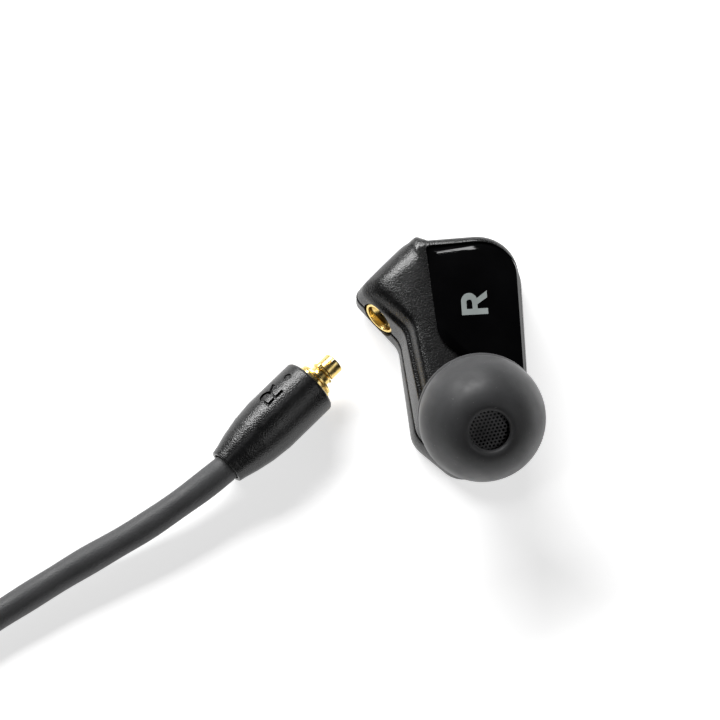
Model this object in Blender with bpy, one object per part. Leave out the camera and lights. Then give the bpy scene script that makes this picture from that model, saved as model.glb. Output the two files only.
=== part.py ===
"""In-ear monitor: the right earpiece, and its detachable cable with the plug drawn out of the socket.

World frame: the origin is the centre of the flat outer face that the earpiece rests on, +Z up,
+X towards the earpiece's straight side, +Y away from the ear tip. Lengths in this file are
millimetres, and every mesh is scaled to metres when it is made.
"""
from math import acos, atan2, cos, pi, radians, sin, tan

import bmesh
import bpy
from mathutils import Matrix, Vector

MM = 0.001
GAP = 0.1            # clearance between pieces that sit against each other
CORD_GAP = 0.3       # clearance between cord solids that meet

# --- housing -------------------------------------------------------------------------------
SEAM_HEIGHT = 3.1    # where the two shells part
ROOF_HEIGHT = 8.0    # flat top of the inner shell
WALL = 0.9
ARM_CURVE = 0.034    # fall of the arm's top, times the square of the distance from the ridge
RIDGE = (Vector((-4.0, 10.4)), Vector((-2.4, 0.6)))
ARC_STEPS = 4

# x, y, corner radius, how far the corner belongs to the socket arm (0 body, 1 arm's end),
# and how far the inner shell's wall has leaned in at its top edge
HOUSING_CORNERS = [
    (6.35, 13.55, 6.3, 0.0, 0.7),
    (-3.65, 12.5, 0.6, 0.1, 0.7),
    (-4.8, 13.3, 0.6, 0.3, 0.7),
    (-7.0, 12.3, 5.0, 0.6, 0.8),
    (-11.85, 6.95, 1.2, 1.0, 0.4),
    (-6.9, 1.5, 3.0, 0.45, 0.6),
    (-5.5, -9.3, 3.0, 0.0, 1.25),
    (-0.8, -13.4, 3.0, 0.0, 1.1),
    (6.2, -11.6, 3.6, 0.0, 0.8),
    (7.05, -4.0, 6.0, 0.0, 0.6),
]
# how far each corner of both shells stands in at the seam between them
FOOT_INSETS = [0.3, 0.2, 0.2, 0.2, 0.1, 0.25, 0.55, 0.45, 0.3, 0.3]
BODY_SPINE = (0.8, -8.5, 8.0)              # x, and the y span, of the body's middle line
# corners of the glossy panel, each with its radius and the width of its top bevel
PANEL_CORNERS = [
    (5.7, 11.75, 5.0, 0.3),
    (-4.0, 10.75, 0.4, 1.0),
    (-2.75, 0.3, 3.2, 0.9),
    (1.4, -3.2, 1.4, 0.4),
    (6.5, -4.6, 0.8, 0.3),
]
PANEL_THICKNESS = 0.9

# --- nozzle and ear tip, measured along the nozzle axis from its root ------------------------
NOZZLE_AXIS = Vector((0.10, -0.50, 0.80)).normalized()
NOZZLE_ROOT = Vector((1.24, -7.51, 7.5))
WEDGE_DROP = 0.6     # the sloped face that carries the nozzle lies this far below the root
NOZZLE_LENGTH = 8.6
NOZZLE_BORE = 1.9
BOSS_RADIUS = 3.3

# --- socket and plug, measured along the plug axis, +s into the earpiece ---------------------
PLUG_HEIGHT = 3.3
SOCKET_CENTRE = Vector((-9.2, 4.05, PLUG_HEIGHT))
PLUG_ANGLE = radians(46.0)
PLUG_AXIS = Vector((cos(PLUG_ANGLE), sin(PLUG_ANGLE), 0.0))
SOCKET_RADIUS = 1.95
SOCKET_LENGTH = 4.2
PLUG_GAP = 6.5       # from the barrel's end to the socket's mouth
GOLD_LENGTH = 3.6
BOOT_LENGTH = 12.8
BOOT_RADIUS = 3.22
BOOT_TAIL_RADIUS = 2.05
BARREL_RADIUS = 1.15
LEFT_PLUG_TURN = radians(231.0)            # where on the coil the left plug's boot begins

# --- cable ----------------------------------------------------------------------------------
GUIDE_DIAMETER = 3.0
BRANCH_DIAMETER = 2.0
TRUNK_DIAMETER = 2.4
COIL_CENTRE = Vector((-82.0, -17.0, 0.0))
TIE_THICKNESS = 0.6
TIE_WIDTH = 5.0
TIE_TURN = radians(40.0)                   # around the coil, from its far side
TRUNK_COIL = (7.6, 20.0, 0.65, 5.5)        # inner and outer radius, bottom and top
BRANCH_COIL = (13.6, 18.4, 5.8, 9.8)
Y_CENTRE = Vector((-77.0, 10.0, 2.3))
Y_LENGTH = 14.0
BRANCH_SPREAD = 1.25                       # each branch's distance from the splitter's centre line
SLIDER_CENTRE_X = -87.2
SLIDER_LENGTH = 5.0
JACK_REAR = Vector((-65.0, 20.5, 3.6))     # where the trunk enters the jack's strain relief
JACK_AXIS = Vector((-1.0, 0.0, 0.0))

# routes: points by hand where the cord lies free
RIGHT_GUIDE_ROUTE = [
    (-25.4, -12.75, 3.3), (-28.8, -15.5, 3.1), (-34.0, -19.1, 2.6), (-41.1, -23.3, 2.05),
    (-48.6, -28.1, 1.65), (-56.0, -33.1, 1.55), (-63.5, -37.6, 1.55), (-71.5, -40.8, 1.55),
    (-78.5, -42.0, 1.55),
]
# around the coil: angle in degrees, radius, height
RIGHT_TAIL_ROUTE = [
    (-83.3, 25.1, 1.55), (-98, 25.0, 1.9), (-114, 24.6, 3.1), (-130, 23.7, 4.9), (-146, 22.3, 6.9),
    (-159, 20.9, 8.3), (-168, 20.0, 8.7),
]
RIGHT_LEAD_ROUTE = [
    (122, 31.4, 1.9), (136, 28.6, 2.2), (150, 25.6, 3.4), (163, 23.0, 5.2), (174, 21.0, 6.5),
    (182, 20.0, 6.85),
]
LEFT_LEAD_ROUTE = [
    (122, 28.6, 1.9), (136, 25.8, 2.5), (148, 23.4, 4.2), (156, 21.8, 6.0), (163, 20.6, 6.9),
]
LEFT_END_ROUTE = [(-90, 14.7, 11.1), (-60, 14.8, 11.1), (-30, 14.9, 11.15), (-3.5, 15.1, 11.3)]
LEFT_GUIDE_ROUTE = [
    (-1, 15.1, 11.65), (45, 15.4, 11.65), (90, 15.6, 11.7), (135, 15.6, 11.9), (180, 15.6, 12.6),
    (215, 15.6, 13.2), (229, 15.7, 13.3),
]
TRUNK_LEAD_ROUTE = [
    (-69.6, 10.0, 2.3), (-66.0, 9.2, 1.9), (-61.5, 5.5, 1.5), (-59.0, -1.0, 1.4),
    (-58.6, -8.0, 1.6), (-59.9, -14.2, 1.85),
]
TRUNK_TAIL_ROUTE = [
    (-72.0, 3.2, 4.3), (-67.5, 2.4, 4.7), (-62.5, 3.0, 4.8), (-58.7, 6.6, 4.2),
    (-57.2, 11.6, 3.1), (-58.6, 17.0, 2.9), (-61.8, 20.2, 3.4), (-64.7, 20.5, 3.6),
]


# --- helpers --------------------------------------------------------------------------------
def clear_scene():
    for obj in list(bpy.data.objects):
        bpy.data.objects.remove(obj, do_unlink=True)


def make_material(name, colour, roughness, metallic=0.0):
    material = bpy.data.materials.new(name)
    material.use_nodes = True
    shader = material.node_tree.nodes["Principled BSDF"]
    shader.inputs["Base Color"].default_value = (*colour, 1.0)
    shader.inputs["Roughness"].default_value = roughness
    shader.inputs["Metallic"].default_value = metallic
    return material


def frame_along(origin, direction):
    """A frame at origin whose +Z points along direction, and whose +X stays as level as it can."""
    z_axis = Vector(direction).normalized()
    side = Vector((0, 0, 1)).cross(z_axis)
    x_axis = side.normalized() if side.length > 0.01 else Vector((1, 0, 0))
    y_axis = z_axis.cross(x_axis)
    rotation = Matrix((x_axis, y_axis, z_axis)).transposed().to_4x4()
    return Matrix.Translation(Vector(origin) * MM) @ rotation


def make_axis(name, origin, direction):
    empty = bpy.data.objects.new(name, None)
    empty.empty_display_size = 3 * MM
    empty.matrix_world = frame_along(origin, direction)
    bpy.context.scene.collection.objects.link(empty)
    return empty


def add_object(name, data, material, parent=None):
    obj = bpy.data.objects.new(name, data)
    data.materials.append(material)
    bpy.context.scene.collection.objects.link(obj)
    obj.parent = parent
    return obj


def add_mesh(name, points, faces, material, parent=None, sharp=35.0):
    mesh = bpy.data.meshes.new(name)
    mesh.from_pydata([Vector(p) * MM for p in points], [], faces)
    work = bmesh.new()
    work.from_mesh(mesh)
    bmesh.ops.recalc_face_normals(work, faces=work.faces)
    if work.calc_volume(signed=True) < 0:
        bmesh.ops.reverse_faces(work, faces=work.faces)
    bmesh.ops.triangulate(work, faces=[f for f in work.faces if len(f.verts) > 4])
    work.to_mesh(mesh)
    work.free()
    mesh.shade_smooth()
    mesh.set_sharp_from_angle(angle=radians(sharp))
    return add_object(name, mesh, material, parent)


def loft(rings, closed_loop=False):
    """Points and faces of a skin through equal rings, capped at both ends or joined end to start."""
    count = len(rings[0])
    points = [p for ring in rings for p in ring]
    last = len(rings) if closed_loop else len(rings) - 1
    faces = []
    for k in range(last):
        low, high = k * count, (k + 1) % len(rings) * count
        for i in range(count):
            j = (i + 1) % count
            faces.append((low + i, low + j, high + j, high + i))
    if not closed_loop:
        faces.append(tuple(range(count - 1, -1, -1)))
        faces.append(tuple(range((len(rings) - 1) * count, len(rings) * count)))
    return points, faces


def turned(name, profile, material, parent=None, segments=32, hollow=False):
    """A solid of revolution about +Z. A profile is (radius, height) pairs: a closed loop when
    hollow, otherwise from one end face's rim to the other's."""
    rings = [
        [(r * cos(2 * pi * i / segments), r * sin(2 * pi * i / segments), z) for i in range(segments)]
        for r, z in profile
    ]
    return add_mesh(name, *loft(rings, closed_loop=hollow), material, parent)


def tube(name, inner, outer, low, high, material, parent=None, segments=32):
    return turned(name, [(outer, low), (outer, high), (inner, high), (inner, low)],
                  material, parent, segments, hollow=True)


def rod(name, radius, low, high, material, parent=None, segments=24, bevel=0.0):
    if bevel:
        profile = [(radius - bevel, low), (radius, low + bevel), (radius, high - bevel), (radius - bevel, high)]
    else:
        profile = [(radius, low), (radius, high)]
    return turned(name, profile, material, parent, segments)


def block(name, centre, size, material, bevel=0.0):
    mesh = bpy.data.meshes.new(name)
    work = bmesh.new()
    bmesh.ops.create_cube(work, size=1.0)
    bmesh.ops.scale(work, vec=Vector(size) * MM, verts=work.verts)
    bmesh.ops.translate(work, vec=Vector(centre) * MM, verts=work.verts)
    if bevel:
        bmesh.ops.bevel(work, geom=work.edges[:], offset=bevel * MM, segments=2, profile=0.5, affect="EDGES")
    work.to_mesh(mesh)
    work.free()
    return add_object(name, mesh, material)


def make_cutter(obj):
    obj.hide_render = True
    obj.display_type = "WIRE"
    return obj


def combine(obj, other, operation="DIFFERENCE"):
    modifier = obj.modifiers.new(other.name, "BOOLEAN")
    modifier.object = other
    modifier.operation = operation
    modifier.solver = "EXACT"


# --- outlines with rounded corners ------------------------------------------------------------
def corner_inset(corners, i):
    """The move of corner i, per millimetre of inset, that keeps both its edges parallel."""
    here = Vector(corners[i][:2])
    before = (here - Vector(corners[i - 1][:2])).normalized()
    after = (Vector(corners[(i + 1) % len(corners)][:2]) - here).normalized()
    inward = Vector((-before.y, before.x)) + Vector((-after.y, after.x))
    return inward / (1 + before.dot(after))


def rounded_ring(corners, steps=ARC_STEPS):
    """Points around an outline given as (x, y, z, radius) corners, each corner an arc."""
    ring = []
    for i, (x, y, z, radius) in enumerate(corners):
        here = Vector((x, y))
        back = Vector(corners[i - 1][:2]) - here
        ahead = Vector(corners[(i + 1) % len(corners)][:2]) - here
        half = acos(max(-1.0, min(1.0, back.normalized().dot(ahead.normalized())))) / 2
        reach = min(radius / tan(half), 0.48 * back.length, 0.48 * ahead.length)
        radius = reach * tan(half)
        middle = here + (back.normalized() + ahead.normalized()).normalized() * (radius / sin(half))
        start = here + back.normalized() * reach - middle
        finish = here + ahead.normalized() * reach - middle
        turn = atan2(start.x * finish.y - start.y * finish.x, start.dot(finish))
        for k in range(steps + 1):
            angle = turn * k / steps
            ring.append((middle.x + start.x * cos(angle) - start.y * sin(angle),
                         middle.y + start.x * sin(angle) + start.y * cos(angle), z))
    return ring


def side_of_ridge(x, y):
    """Distance from the ridge between the arm's top and the body's top, positive over the arm."""
    along = (RIDGE[1] - RIDGE[0]).normalized()
    offset = Vector((x, y)) - RIDGE[0]
    return along.y * offset.x - along.x * offset.y


def roof(x, y):
    """Height of the inner shell's top: flat over the body, curving down along the arm, sloping at the nozzle."""
    flat = ROOF_HEIGHT - ARM_CURVE * max(0.0, side_of_ridge(x, y)) ** 2
    root = NOZZLE_ROOT - NOZZLE_AXIS * WEDGE_DROP
    wedge = root.z - (NOZZLE_AXIS.x * (x - root.x) + NOZZLE_AXIS.y * (y - root.y)) / NOZZLE_AXIS.z
    return max(SEAM_HEIGHT + 0.25, min(flat, wedge))


def housing_ring(insets, heights):
    """One ring of the housing: an inset and a height for each corner."""
    corners = []
    for i, (x, y, radius, _, _) in enumerate(HOUSING_CORNERS):
        move = corner_inset(HOUSING_CORNERS, i) * insets[i]
        corners.append((x + move.x, y + move.y, heights[i], radius))
    return rounded_ring(corners)


def roof_ring(insets, drop):
    return [(x, y, roof(x, y) - drop) for x, y, _ in housing_ring(insets, [0.0] * len(insets))]


def towards_spine(ring, share, drop):
    """A ring drawn in towards the body's middle line, back on the roof less a drop."""
    middle_x, low_y, high_y = BODY_SPINE
    inner = []
    for x, y, _ in ring:
        x += (middle_x - x) * share
        y += (max(low_y, min(high_y, y)) - y) * share
        inner.append((x, y, roof(x, y) - drop))
    return inner


# --- earpiece housing ---------------------------------------------------------------------------
def make_outer_shell(material):
    arm = [row[3] for row in HOUSING_CORNERS]
    rim = SEAM_HEIGHT - GAP / 2
    rings = [
        housing_ring([1.1 + 2.6 * a for a in arm], [0.0] * len(arm)),
        housing_ring([0.35 + 0.9 * a for a in arm], [0.3 + 0.25 * a for a in arm]),
        housing_ring([0.0] * len(arm), [1.2] * len(arm)),
        housing_ring([0.2 * f for f in FOOT_INSETS], [2.2] * len(arm)),
        housing_ring([f - 0.08 for f in FOOT_INSETS], [rim] * len(arm)),
        housing_ring([f + WALL - 0.08 for f in FOOT_INSETS], [rim] * len(arm)),
        housing_ring([WALL + 0.1 + 0.3 * a for a in arm], [1.5 + 0.3 * a for a in arm]),
        housing_ring([WALL + 0.9 + 2.2 * a for a in arm], [WALL + 0.2 * a for a in arm]),
    ]
    return add_mesh("outer_shell", *loft(rings), material)


def make_inner_shell(material):
    crease = [row[4] for row in HOUSING_CORNERS]
    rim = SEAM_HEIGHT + GAP / 2
    foot = FOOT_INSETS
    wall_top = roof_ring(crease, 1.1)
    halfway = [(f + c) / 2 for f, c in zip(foot, crease)]
    wall_mid = [(x, y, (rim + z) / 2) for x, y, z in roof_ring(halfway, 1.1)]
    shoulder = roof_ring([c + 1.2 for c in crease], 0.0)
    inside_top = roof_ring([c + 1.25 for c in crease], WALL)
    rings = [
        towards_spine(inside_top, 0.85, WALL),
        towards_spine(inside_top, 0.45, WALL),
        inside_top,
        roof_ring([c + WALL for c in crease], WALL + 0.9),
        housing_ring([f + WALL for f in foot], [rim] * len(foot)),
        housing_ring(foot, [rim] * len(foot)),
        wall_mid,
        wall_top,
        roof_ring([c + 0.3 for c in crease], 0.45),
        roof_ring([c + 0.75 for c in crease], 0.1),
        shoulder,
        towards_spine(shoulder, 0.45, 0.0),
        towards_spine(shoulder, 0.85, 0.0),
    ]
    return add_mesh("inner_shell", *loft(rings), material)


def make_gloss_panel(material):
    foot = ROOF_HEIGHT + GAP
    top = foot + PANEL_THICKNESS
    low, high = [], []
    for i, (x, y, radius, bevel) in enumerate(PANEL_CORNERS):
        move = corner_inset(PANEL_CORNERS, i) * bevel
        low.append((x, y, foot, radius))
        high.append((x + move.x, y + move.y, top, max(0.3, radius - bevel)))
    rings = [rounded_ring(low), [(x, y, foot + 0.25) for x, y, _ in rounded_ring(low)], rounded_ring(high)]
    return add_mesh("gloss_panel", *loft(rings), material, sharp=20.0)


def make_housing(mat):
    nozzle_axis = make_axis("nozzle_axis", NOZZLE_ROOT, NOZZLE_AXIS)
    plug_line = make_axis("socket_axis", SOCKET_CENTRE, PLUG_AXIS)
    outer = make_outer_shell(mat["shell"])
    inner = make_inner_shell(mat["shell"])
    make_gloss_panel(mat["gloss"])
    boss = make_cutter(turned("boss", [(BOSS_RADIUS, -2.6), (BOSS_RADIUS, -0.3), (BOSS_RADIUS - 0.3, 0.0)],
                              mat["shell"], nozzle_axis))
    nozzle_hole = make_cutter(rod("nozzle_hole", 2.6, -5.0, 1.0, mat["shell"], nozzle_axis))
    socket_hole = make_cutter(rod("socket_hole", SOCKET_RADIUS + GAP, -2.0, SOCKET_LENGTH + 0.6, mat["shell"],
                                  plug_line, segments=32))
    combine(inner, boss, "UNION")
    combine(inner, nozzle_hole)
    combine(inner, socket_hole)
    combine(outer, socket_hole)
    return nozzle_axis, plug_line


def make_nozzle(mat, axis):
    turned("nozzle", [(NOZZLE_BORE, -1.3), (2.5, -1.3), (2.5, 0.1), (3.2, 0.1), (3.2, 0.6), (2.45, 1.0), (2.3, 1.4),
                      (2.3, 7.0), (2.6, 7.4), (2.6, 8.1), (2.4, NOZZLE_LENGTH), (NOZZLE_BORE, NOZZLE_LENGTH)],
           mat["shell"], axis, hollow=True)
    rod("nozzle_mesh", 2.3, NOZZLE_LENGTH + 0.05, NOZZLE_LENGTH + 0.2, mat["mesh"], axis)
    rod("nozzle_damper", NOZZLE_BORE - 0.05, 4.4, 6.0, mat["foam"], axis)


def make_ear_tip(mat, axis):
    pull = make_axis("ear_tip_pull", NOZZLE_ROOT, NOZZLE_AXIS)
    outside = [(2.1, 9.55), (2.35, 9.8), (3.1, 9.75), (4.3, 9.0), (5.5, 7.5), (6.3, 5.9), (6.6, 4.3), (6.5, 2.8),
               (6.3, 1.5)]
    inside = [(5.95, 1.5), (6.1, 2.9), (6.1, 4.3), (5.6, 6.1), (4.6, 7.5), (3.7, 8.0), (3.45, 7.2), (3.4, 1.8),
              (2.75, 1.8), (2.75, 8.85), (2.1, 9.0)]
    return turned("ear_tip", outside[::-1] + inside[::-1], mat["silicone"], pull, segments=40, hollow=True)


# --- inside the earpiece --------------------------------------------------------------------------
def make_driver(mat):
    axis = make_axis("driver_axis", (0.4, 4.2, 0.0), (0, 0, 1))
    turned("driver_basket", [(3.7, 1.3), (3.7, 4.0), (4.0, 4.1), (4.0, 4.6), (3.4, 4.6), (3.3, 4.1), (3.3, 1.7)],
           mat["steel"], axis)
    rod("driver_magnet", 2.6, 1.8, 3.0, mat["magnet"], axis)
    rod("pole_plate", 2.4, 3.1, 3.5, mat["steel"], axis)
    moving = make_axis("diaphragm_travel", (0.4, 4.2, 4.9), (0, 0, 1))
    tube("voice_coil", 2.7, 2.95, -1.7, 0.0, mat["copper"], moving)
    turned("diaphragm", [(1.0, 0.85), (2.2, 0.55), (3.0, 0.1), (3.5, 0.3), (3.9, 0.1), (3.9, 0.4), (3.5, 0.6),
                         (3.0, 0.4), (2.2, 0.85), (1.0, 1.15)], mat["film"], moving)


def make_electronics(mat):
    block("treble_driver", (0.9, -6.2, 2.9), (5.0, 2.8, 1.9), mat["steel"], bevel=0.2)
    block("crossover_board", (0.6, -2.4, 1.6), (6.5, 3.6, 0.4), mat["board"])


def make_socket(mat, line):
    lip = [(1.25, 0.75), (1.62, 0.55), (1.62, 0.0), (SOCKET_RADIUS, 0.0), (SOCKET_RADIUS, SOCKET_LENGTH),
           (1.25, SOCKET_LENGTH)]
    turned("socket_shell", lip[::-1], mat["gold"], line, hollow=True)
    rod("socket_insulator", 1.2, 3.2, SOCKET_LENGTH, mat["insulator"], line)
    tube("socket_contact", 0.2, 0.4, 1.1, 3.1, mat["gold"], line, segments=16)


# --- cable ------------------------------------------------------------------------------------------
def make_plug(side, mat, origin, direction):
    """A plug along its axis: +Z out of the boot, the origin at the barrel's end."""
    axis = make_axis(side + "_plug_axis", origin, direction)
    front = -GOLD_LENGTH
    rear = front - BOOT_LENGTH
    boot = [(BOOT_TAIL_RADIUS, rear), (2.45, rear + 1.6), (2.85, rear + 4.0), (BOOT_RADIUS, rear + 6.6),
            (BOOT_RADIUS, front - 0.4), (BOOT_RADIUS - 0.4, front)]
    turned(side + "_plug_boot", boot, mat["boot"], axis)
    shell = [(0.8, -3.5), (2.2, -3.5), (2.2, -3.1), (1.95, -3.05), (1.95, -2.7), (1.3, -2.65),
             (BARREL_RADIUS, -2.6), (BARREL_RADIUS, -2.0), (1.0, -1.95), (1.0, -1.6), (BARREL_RADIUS, -1.55),
             (BARREL_RADIUS, -0.1), (1.05, 0.0), (0.8, 0.0)]
    turned(side + "_plug_shell", shell[::-1], mat["gold"], axis, segments=24, hollow=True)
    ring = tube(side + "_plug_snap_ring", 1.03, 1.35, -1.9, -1.65, mat["gold"], axis, segments=24)
    slit = make_cutter(block(side + "_ring_slit", (0, 0, 0), (3.0, 0.35, 1.0), mat["gold"]))
    slit.parent = axis
    slit.location = Vector((1.6, 0, -1.8)) * MM
    combine(ring, slit)
    rod(side + "_plug_insulator", 0.75, -3.4, -1.7, mat["insulator"], axis, segments=16)
    rod(side + "_plug_pin", 0.14, -1.6, -0.25, mat["gold"], axis, segments=12)


def smooth_route(points, spacing):
    """Points about spacing apart on a smooth curve through the route's own points."""
    nodes = [Vector(p) for p in points]
    ends = [nodes[0] * 2 - nodes[1]] + nodes + [nodes[-1] * 2 - nodes[-2]]
    route = []
    for k in range(1, len(ends) - 2):
        before, here, ahead, beyond = ends[k - 1:k + 3]
        steps = max(1, round((ahead - here).length / spacing))
        for i in range(steps):
            t = i / steps
            route.append(0.5 * (2 * here + (ahead - before) * t
                                + (2 * before - 5 * here + 4 * ahead - beyond) * t * t
                                + (3 * here - before - 3 * ahead + beyond) * t * t * t))
    return route + [nodes[-1]]


def around_coil(stations):
    """Points on the coil's own scale, (angle in degrees, radius, height), as plain positions."""
    points = []
    for angle, radius, height in stations:
        turn = radians(angle)
        points.append(COIL_CENTRE + Vector((radius * cos(turn), radius * sin(turn), height)))
    return points


def cord_tube(name, route, diameter, material):
    points = smooth_route(route, 2.5 * diameter)
    curve = bpy.data.curves.new(name, "CURVE")
    curve.dimensions = "3D"
    curve.bevel_depth = diameter / 2 * MM
    curve.bevel_resolution = 2
    curve.use_fill_caps = True
    spline = curve.splines.new("POLY")
    spline.points.add(len(points) - 1)
    for slot, point in zip(spline.points, points):
        slot.co = (*(point * MM), 1.0)
    return add_object(name, curve, material)


def coil_ring(name, size, material):
    inner, outer, low, high = size
    round_edge = 0.8
    axis = make_axis(name + "_axis", COIL_CENTRE, (0, 0, 1))
    profile = [(inner + round_edge, low), (outer - round_edge, low), (outer, low + round_edge),
               (outer, high - round_edge), (outer - round_edge, high), (inner + round_edge, high),
               (inner, high - round_edge), (inner, low + round_edge)]
    return turned(name, profile, material, axis, segments=40, hollow=True)


def make_splitter(mat):
    """The moulded fork, and the slider that draws the two branches together."""
    x, y, z = Y_CENTRE
    sections = [(-Y_LENGTH / 2, 3.3, 1.7), (-Y_LENGTH / 2 + 0.6, 3.7, 2.1), (-1.0, 3.7, 2.2), (4.0, 2.4, 2.1),
                (Y_LENGTH / 2 - 0.4, 2.0, 1.9), (Y_LENGTH / 2, 1.7, 1.6)]
    rings = []
    for along, half_width, half_height in sections:
        corners = [(-half_width, -half_height), (half_width, -half_height), (half_width, half_height),
                   (-half_width, half_height)]
        rings.append([(x + along, y + v, z + w)
                      for v, w, _ in rounded_ring([(*c, 0.0, 0.85 * half_height) for c in corners], 3)])
    add_mesh("y_splitter", *loft(rings), mat["boot"])
    slider = block("cable_slider", (SLIDER_CENTRE_X, y, z), (SLIDER_LENGTH, 7.0, 4.2), mat["boot"], bevel=1.2)
    for sign in (-1, 1):
        line = make_axis(f"slider_hole_axis_{sign}", (SLIDER_CENTRE_X, y + sign * BRANCH_SPREAD, z - 0.4), (1, 0, 0))
        hole = make_cutter(rod(f"slider_hole_{sign}", BRANCH_DIAMETER / 2 + 0.12, -5.0, 5.0, mat["boot"], line))
        combine(slider, hole)


def make_tie(mat):
    """The strap round the coil's whole section, on the side away from the earpiece."""
    inner = TRUNK_COIL[0] - 3 * CORD_GAP
    outer = TRUNK_COIL[1] + CORD_GAP
    low = TRUNK_COIL[2] - CORD_GAP
    high = BRANCH_COIL[3] + CORD_GAP
    step_in, step_out = BRANCH_COIL[0] - 2 * CORD_GAP, BRANCH_COIL[1] + CORD_GAP
    knee = TRUNK_COIL[3] + CORD_GAP
    inside = [(inner, low, 0.6), (outer, low, 0.6), (outer, knee, 0.8), (step_out, high, 0.8), (step_in, high, 0.8),
              (inner, knee, 0.8)]
    corners = [(r, h, 0.0, bend) for r, h, bend in inside]
    thick = []
    for i, (r, h, _, bend) in enumerate(corners):
        move = corner_inset(corners, i) * -(TIE_THICKNESS * 0.55)
        thick.append((r + move.x, h + move.y, 0.0, bend + TIE_THICKNESS * 0.55))
    half = TIE_WIDTH / 2
    rings = []
    for outline, offset in ((corners, -half), (thick, -half), (thick, half), (corners, half)):
        rings.append([(-r, offset, h) for r, h, _ in rounded_ring(outline, 3)])
    points, faces = loft(rings, closed_loop=True)
    turn = Matrix.Rotation(TIE_TURN, 4, "Z")
    points = [turn @ Vector(p) + COIL_CENTRE for p in points]
    add_mesh("coil_tie", points, faces, mat["strap"])


def make_jack(mat):
    axis = make_axis("jack_axis", JACK_REAR, JACK_AXIS)
    turned("jack_strain_relief", [(1.6, 0.3), (1.8, 1.0), (2.2, 8.0), (2.4, 9.9)], mat["boot"], axis)
    turned("jack_grip", [(2.6, 10.0), (3.3, 10.6), (3.4, 11.5), (3.4, 20.5), (3.2, 22.0), (2.7, 22.6)],
           mat["grip"], axis)
    radius = 1.75
    turned("jack_sleeve", [(2.4, 22.7), (2.4, 23.2), (radius, 23.2), (radius, 30.1)], mat["gold"], axis, segments=24)
    rod("jack_rear_insulator", radius - 0.08, 30.15, 30.65, mat["boot"], axis)
    rod("jack_ring", radius, 30.7, 32.4, mat["gold"], axis)
    rod("jack_front_insulator", radius - 0.08, 32.45, 32.95, mat["boot"], axis)
    turned("jack_tip", [(radius, 33.0), (radius, 34.2), (1.25, 34.9), (1.65, 35.6), (1.5, 36.2), (0.6, 37.2)],
           mat["gold"], axis, segments=24)


def make_cable(mat):
    barrel_end = SOCKET_CENTRE - PLUG_AXIS * PLUG_GAP
    make_plug("right", mat, barrel_end, PLUG_AXIS)
    cord_tube("right_ear_guide", RIGHT_GUIDE_ROUTE, GUIDE_DIAMETER, mat["sleeve"])
    cord_tube("right_branch_tail", around_coil(RIGHT_TAIL_ROUTE), BRANCH_DIAMETER, mat["cable"])
    for name, row, route in (("right_branch_lead", 1, RIGHT_LEAD_ROUTE), ("left_branch_lead", -1, LEFT_LEAD_ROUTE)):
        y = Y_CENTRE.y + row * BRANCH_SPREAD
        start = [(Y_CENTRE.x - Y_LENGTH / 2 - CORD_GAP, y, 1.9), (-88.5, y, 1.9), (-93.0, y, 1.9)]
        cord_tube(name, start + around_coil(route), BRANCH_DIAMETER, mat["cable"])
    coil_ring("trunk_coil", TRUNK_COIL, mat["cable"])
    coil_ring("branch_coil", BRANCH_COIL, mat["cable"])
    cord_tube("left_branch_end", around_coil(LEFT_END_ROUTE), BRANCH_DIAMETER, mat["cable"])
    cord_tube("left_ear_guide", around_coil(LEFT_GUIDE_ROUTE), GUIDE_DIAMETER, mat["sleeve"])
    last = around_coil(LEFT_GUIDE_ROUTE)[-1]
    heading = Vector((-sin(LEFT_PLUG_TURN), cos(LEFT_PLUG_TURN), 0.0))
    reach = BOOT_LENGTH + GOLD_LENGTH + CORD_GAP
    make_plug("left", mat, last + heading * reach, heading)
    cord_tube("trunk_lead", TRUNK_LEAD_ROUTE, TRUNK_DIAMETER, mat["cable"])
    cord_tube("trunk_tail", TRUNK_TAIL_ROUTE, TRUNK_DIAMETER, mat["cable"])
    make_splitter(mat)
    make_tie(mat)
    make_jack(mat)


def make_materials():
    return {
        "shell": make_material("grained_black_plastic", (0.035, 0.036, 0.038), 0.45),
        "gloss": make_material("gloss_black_plastic", (0.004, 0.004, 0.004), 0.06),
        "silicone": make_material("silicone", (0.045, 0.046, 0.048), 0.6),
        "mesh": make_material("black_mesh", (0.02, 0.02, 0.02), 0.4, 0.6),
        "foam": make_material("foam", (0.1, 0.1, 0.1), 0.95),
        "steel": make_material("steel", (0.6, 0.6, 0.62), 0.3, 1.0),
        "magnet": make_material("magnet", (0.4, 0.41, 0.42), 0.35, 1.0),
        "copper": make_material("copper_wire", (0.75, 0.35, 0.2), 0.35, 1.0),
        "film": make_material("film", (0.5, 0.55, 0.6), 0.3),
        "board": make_material("board", (0.02, 0.12, 0.05), 0.5),
        "gold": make_material("gold", (0.83, 0.58, 0.2), 0.22, 1.0),
        "insulator": make_material("insulator", (0.75, 0.75, 0.72), 0.5),
        "boot": make_material("moulded_rubber", (0.025, 0.026, 0.028), 0.5),
        "sleeve": make_material("sleeve", (0.05, 0.051, 0.053), 0.45),
        "cable": make_material("cable", (0.025, 0.025, 0.027), 0.45),
        "strap": make_material("strap", (0.03, 0.03, 0.03), 0.9),
        "grip": make_material("grip", (0.03, 0.03, 0.032), 0.35, 0.5),
    }


def main():
    clear_scene()
    mat = make_materials()
    nozzle_axis, plug_line = make_housing(mat)
    make_nozzle(mat, nozzle_axis)
    make_ear_tip(mat, nozzle_axis)
    make_driver(mat)
    make_electronics(mat)
    make_socket(mat, plug_line)
    make_cable(mat)


main()
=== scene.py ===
"""The looks of the in-ear monitor: the right earpiece, and its cable stored beside it.

Lengths are millimetres and are scaled to metres when a mesh is made. The shapes sit on the frame's
own nodes; the housing, the plug and the routes repeat the design's driving dimensions.
"""
import random
from math import acos, atan2, cos, pi, radians, sin, sqrt, tan

import bmesh
import bpy
from mathutils import Matrix, Vector


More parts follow.
